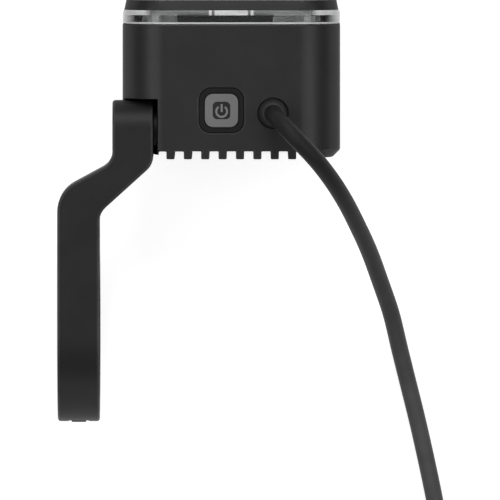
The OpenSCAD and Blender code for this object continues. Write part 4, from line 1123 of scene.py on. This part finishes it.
def power_symbol():
    low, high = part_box("button_icon")
    middle = (low.xy + high.xy) / 2 + SYMBOL_SHIFT
    top = high.z
    bm = bmesh.new()

    def strip(pairs):
        """A thin bar that runs through pairs of points on its two sides."""
        rows = []
        for inner, outer in pairs:
            rows.append([bm.verts.new((x, y, z)) for x, y, z in (
                (*inner, top - SYMBOL_RISE), (*inner, top + SYMBOL_RISE),
                (*outer, top + SYMBOL_RISE), (*outer, top - SYMBOL_RISE))])
        for a, b in zip(rows, rows[1:]):
            for k in range(len(a)):
                n = (k + 1) % len(a)
                bm.faces.new((a[k], a[n], b[n], b[k]))
        bm.faces.new(rows[0])
        bm.faces.new(rows[-1])

    inner_r = SYMBOL_R - SYMBOL_HALF_STROKE
    outer_r = SYMBOL_R + SYMBOL_HALF_STROKE
    ring = []
    for i in range(SYMBOL_STEPS + 1):
        angle = math.pi / 2 + SYMBOL_GAP + 2 * (math.pi - SYMBOL_GAP) * i / SYMBOL_STEPS
        way = Vector((math.cos(angle), math.sin(angle)))
        ring.append((middle + way * inner_r, middle + way * outer_r))
    strip(ring)
    across = Vector((SYMBOL_HALF_STROKE, 0))
    strip([(middle + Vector((0, y)) - across, middle + Vector((0, y)) + across) for y in (BAR_FROM, BAR_TO)])
    bmesh.ops.recalc_face_normals(bm, faces=bm.faces)
    finish_piece("power_symbol", bm, symbol_finish, "button")


power_symbol()

# Table, light and air
TABLE_HALF = 2.0
TABLE_GLOW = 0.8
TABLE_ROUGH = 0.9
TABLE_GREY = grey(0.45)
LAMP_AIM = Vector((40, 20, 0)) * MM
LAMP_AWAY = 0.8
AIR_LOW = 0.15
AIR_HIGH = 0.3

# Softboxes: name, lean across and along in degrees, size in metres and power in watts
softboxes = (
    ("left_softbox", -32, 0, 0.45, 1.5), ("right_softbox", 32, 0, 0.45, 1.5),
    ("front_softbox", 0, 46, 0.45, 2.6), ("rear_softbox", 0, -74, 0.3, 0.6))


def set_stage():
    bm = bmesh.new()
    bmesh.ops.create_grid(bm, x_segments=1, y_segments=1, size=TABLE_HALF)
    bmesh.ops.translate(bm, vec=(0, 0, cad_box[0][2]), verts=bm.verts)
    mesh = bpy.data.meshes.new("table")
    bm.to_mesh(mesh)
    bm.free()
    table = bpy.data.objects.new("table", mesh)
    bpy.context.collection.objects.link(table)
    material, tree, shader, _ = new_finish("white_table", Roughness=TABLE_ROUGH)
    shader.inputs["Base Color"].default_value = (*TABLE_GREY, 1)
    shader.inputs["Emission Color"].default_value = (*grey(1.0), 1)
    rays = add_node(tree, "ShaderNodeLightPath").outputs
    through = calc(tree, "MAXIMUM", rays["Is Glossy Ray"], rays["Is Transmission Ray"])
    seen = calc(tree, "MAXIMUM", rays["Is Camera Ray"], through)
    tree.links.new(calc(tree, "MULTIPLY", seen, TABLE_GLOW), shader.inputs["Emission Strength"])
    mesh.materials.append(material)


def add_softbox(name, lean_x, lean_y, size, power):
    """A square lamp that leans from overhead by the given angles and looks at the object."""
    data = bpy.data.lights.new(name, "AREA")
    data.size = size
    data.energy = power
    lamp = bpy.data.objects.new(name, data)
    way = Vector((math.tan(math.radians(lean_x)), math.tan(math.radians(lean_y)), 1)).normalized()
    lamp.location = LAMP_AIM + way * LAMP_AWAY
    lamp.rotation_euler = way.to_track_quat("Z", "Y").to_euler()
    bpy.context.collection.objects.link(lamp)


def light_scene():
    for values in softboxes:
        add_softbox(*values)
    world = bpy.data.worlds.new("studio")
    bpy.context.scene.world = world
    world.use_nodes = True
    tree = world.node_tree
    way = add_node(tree, "ShaderNodeTexCoord").outputs["Generated"]
    air = tree.nodes["Background"]
    air.inputs["Color"].default_value = (*grey(1.0), 1)
    strength = between(tree, axis_of(tree, way, "Z"), AIR_LOW, AIR_HIGH, 0.0, 1.0)
    tree.links.new(strength, air.inputs["Strength"])


set_stage()
light_scene()
bpy.context.scene.view_settings.view_transform = "Standard"
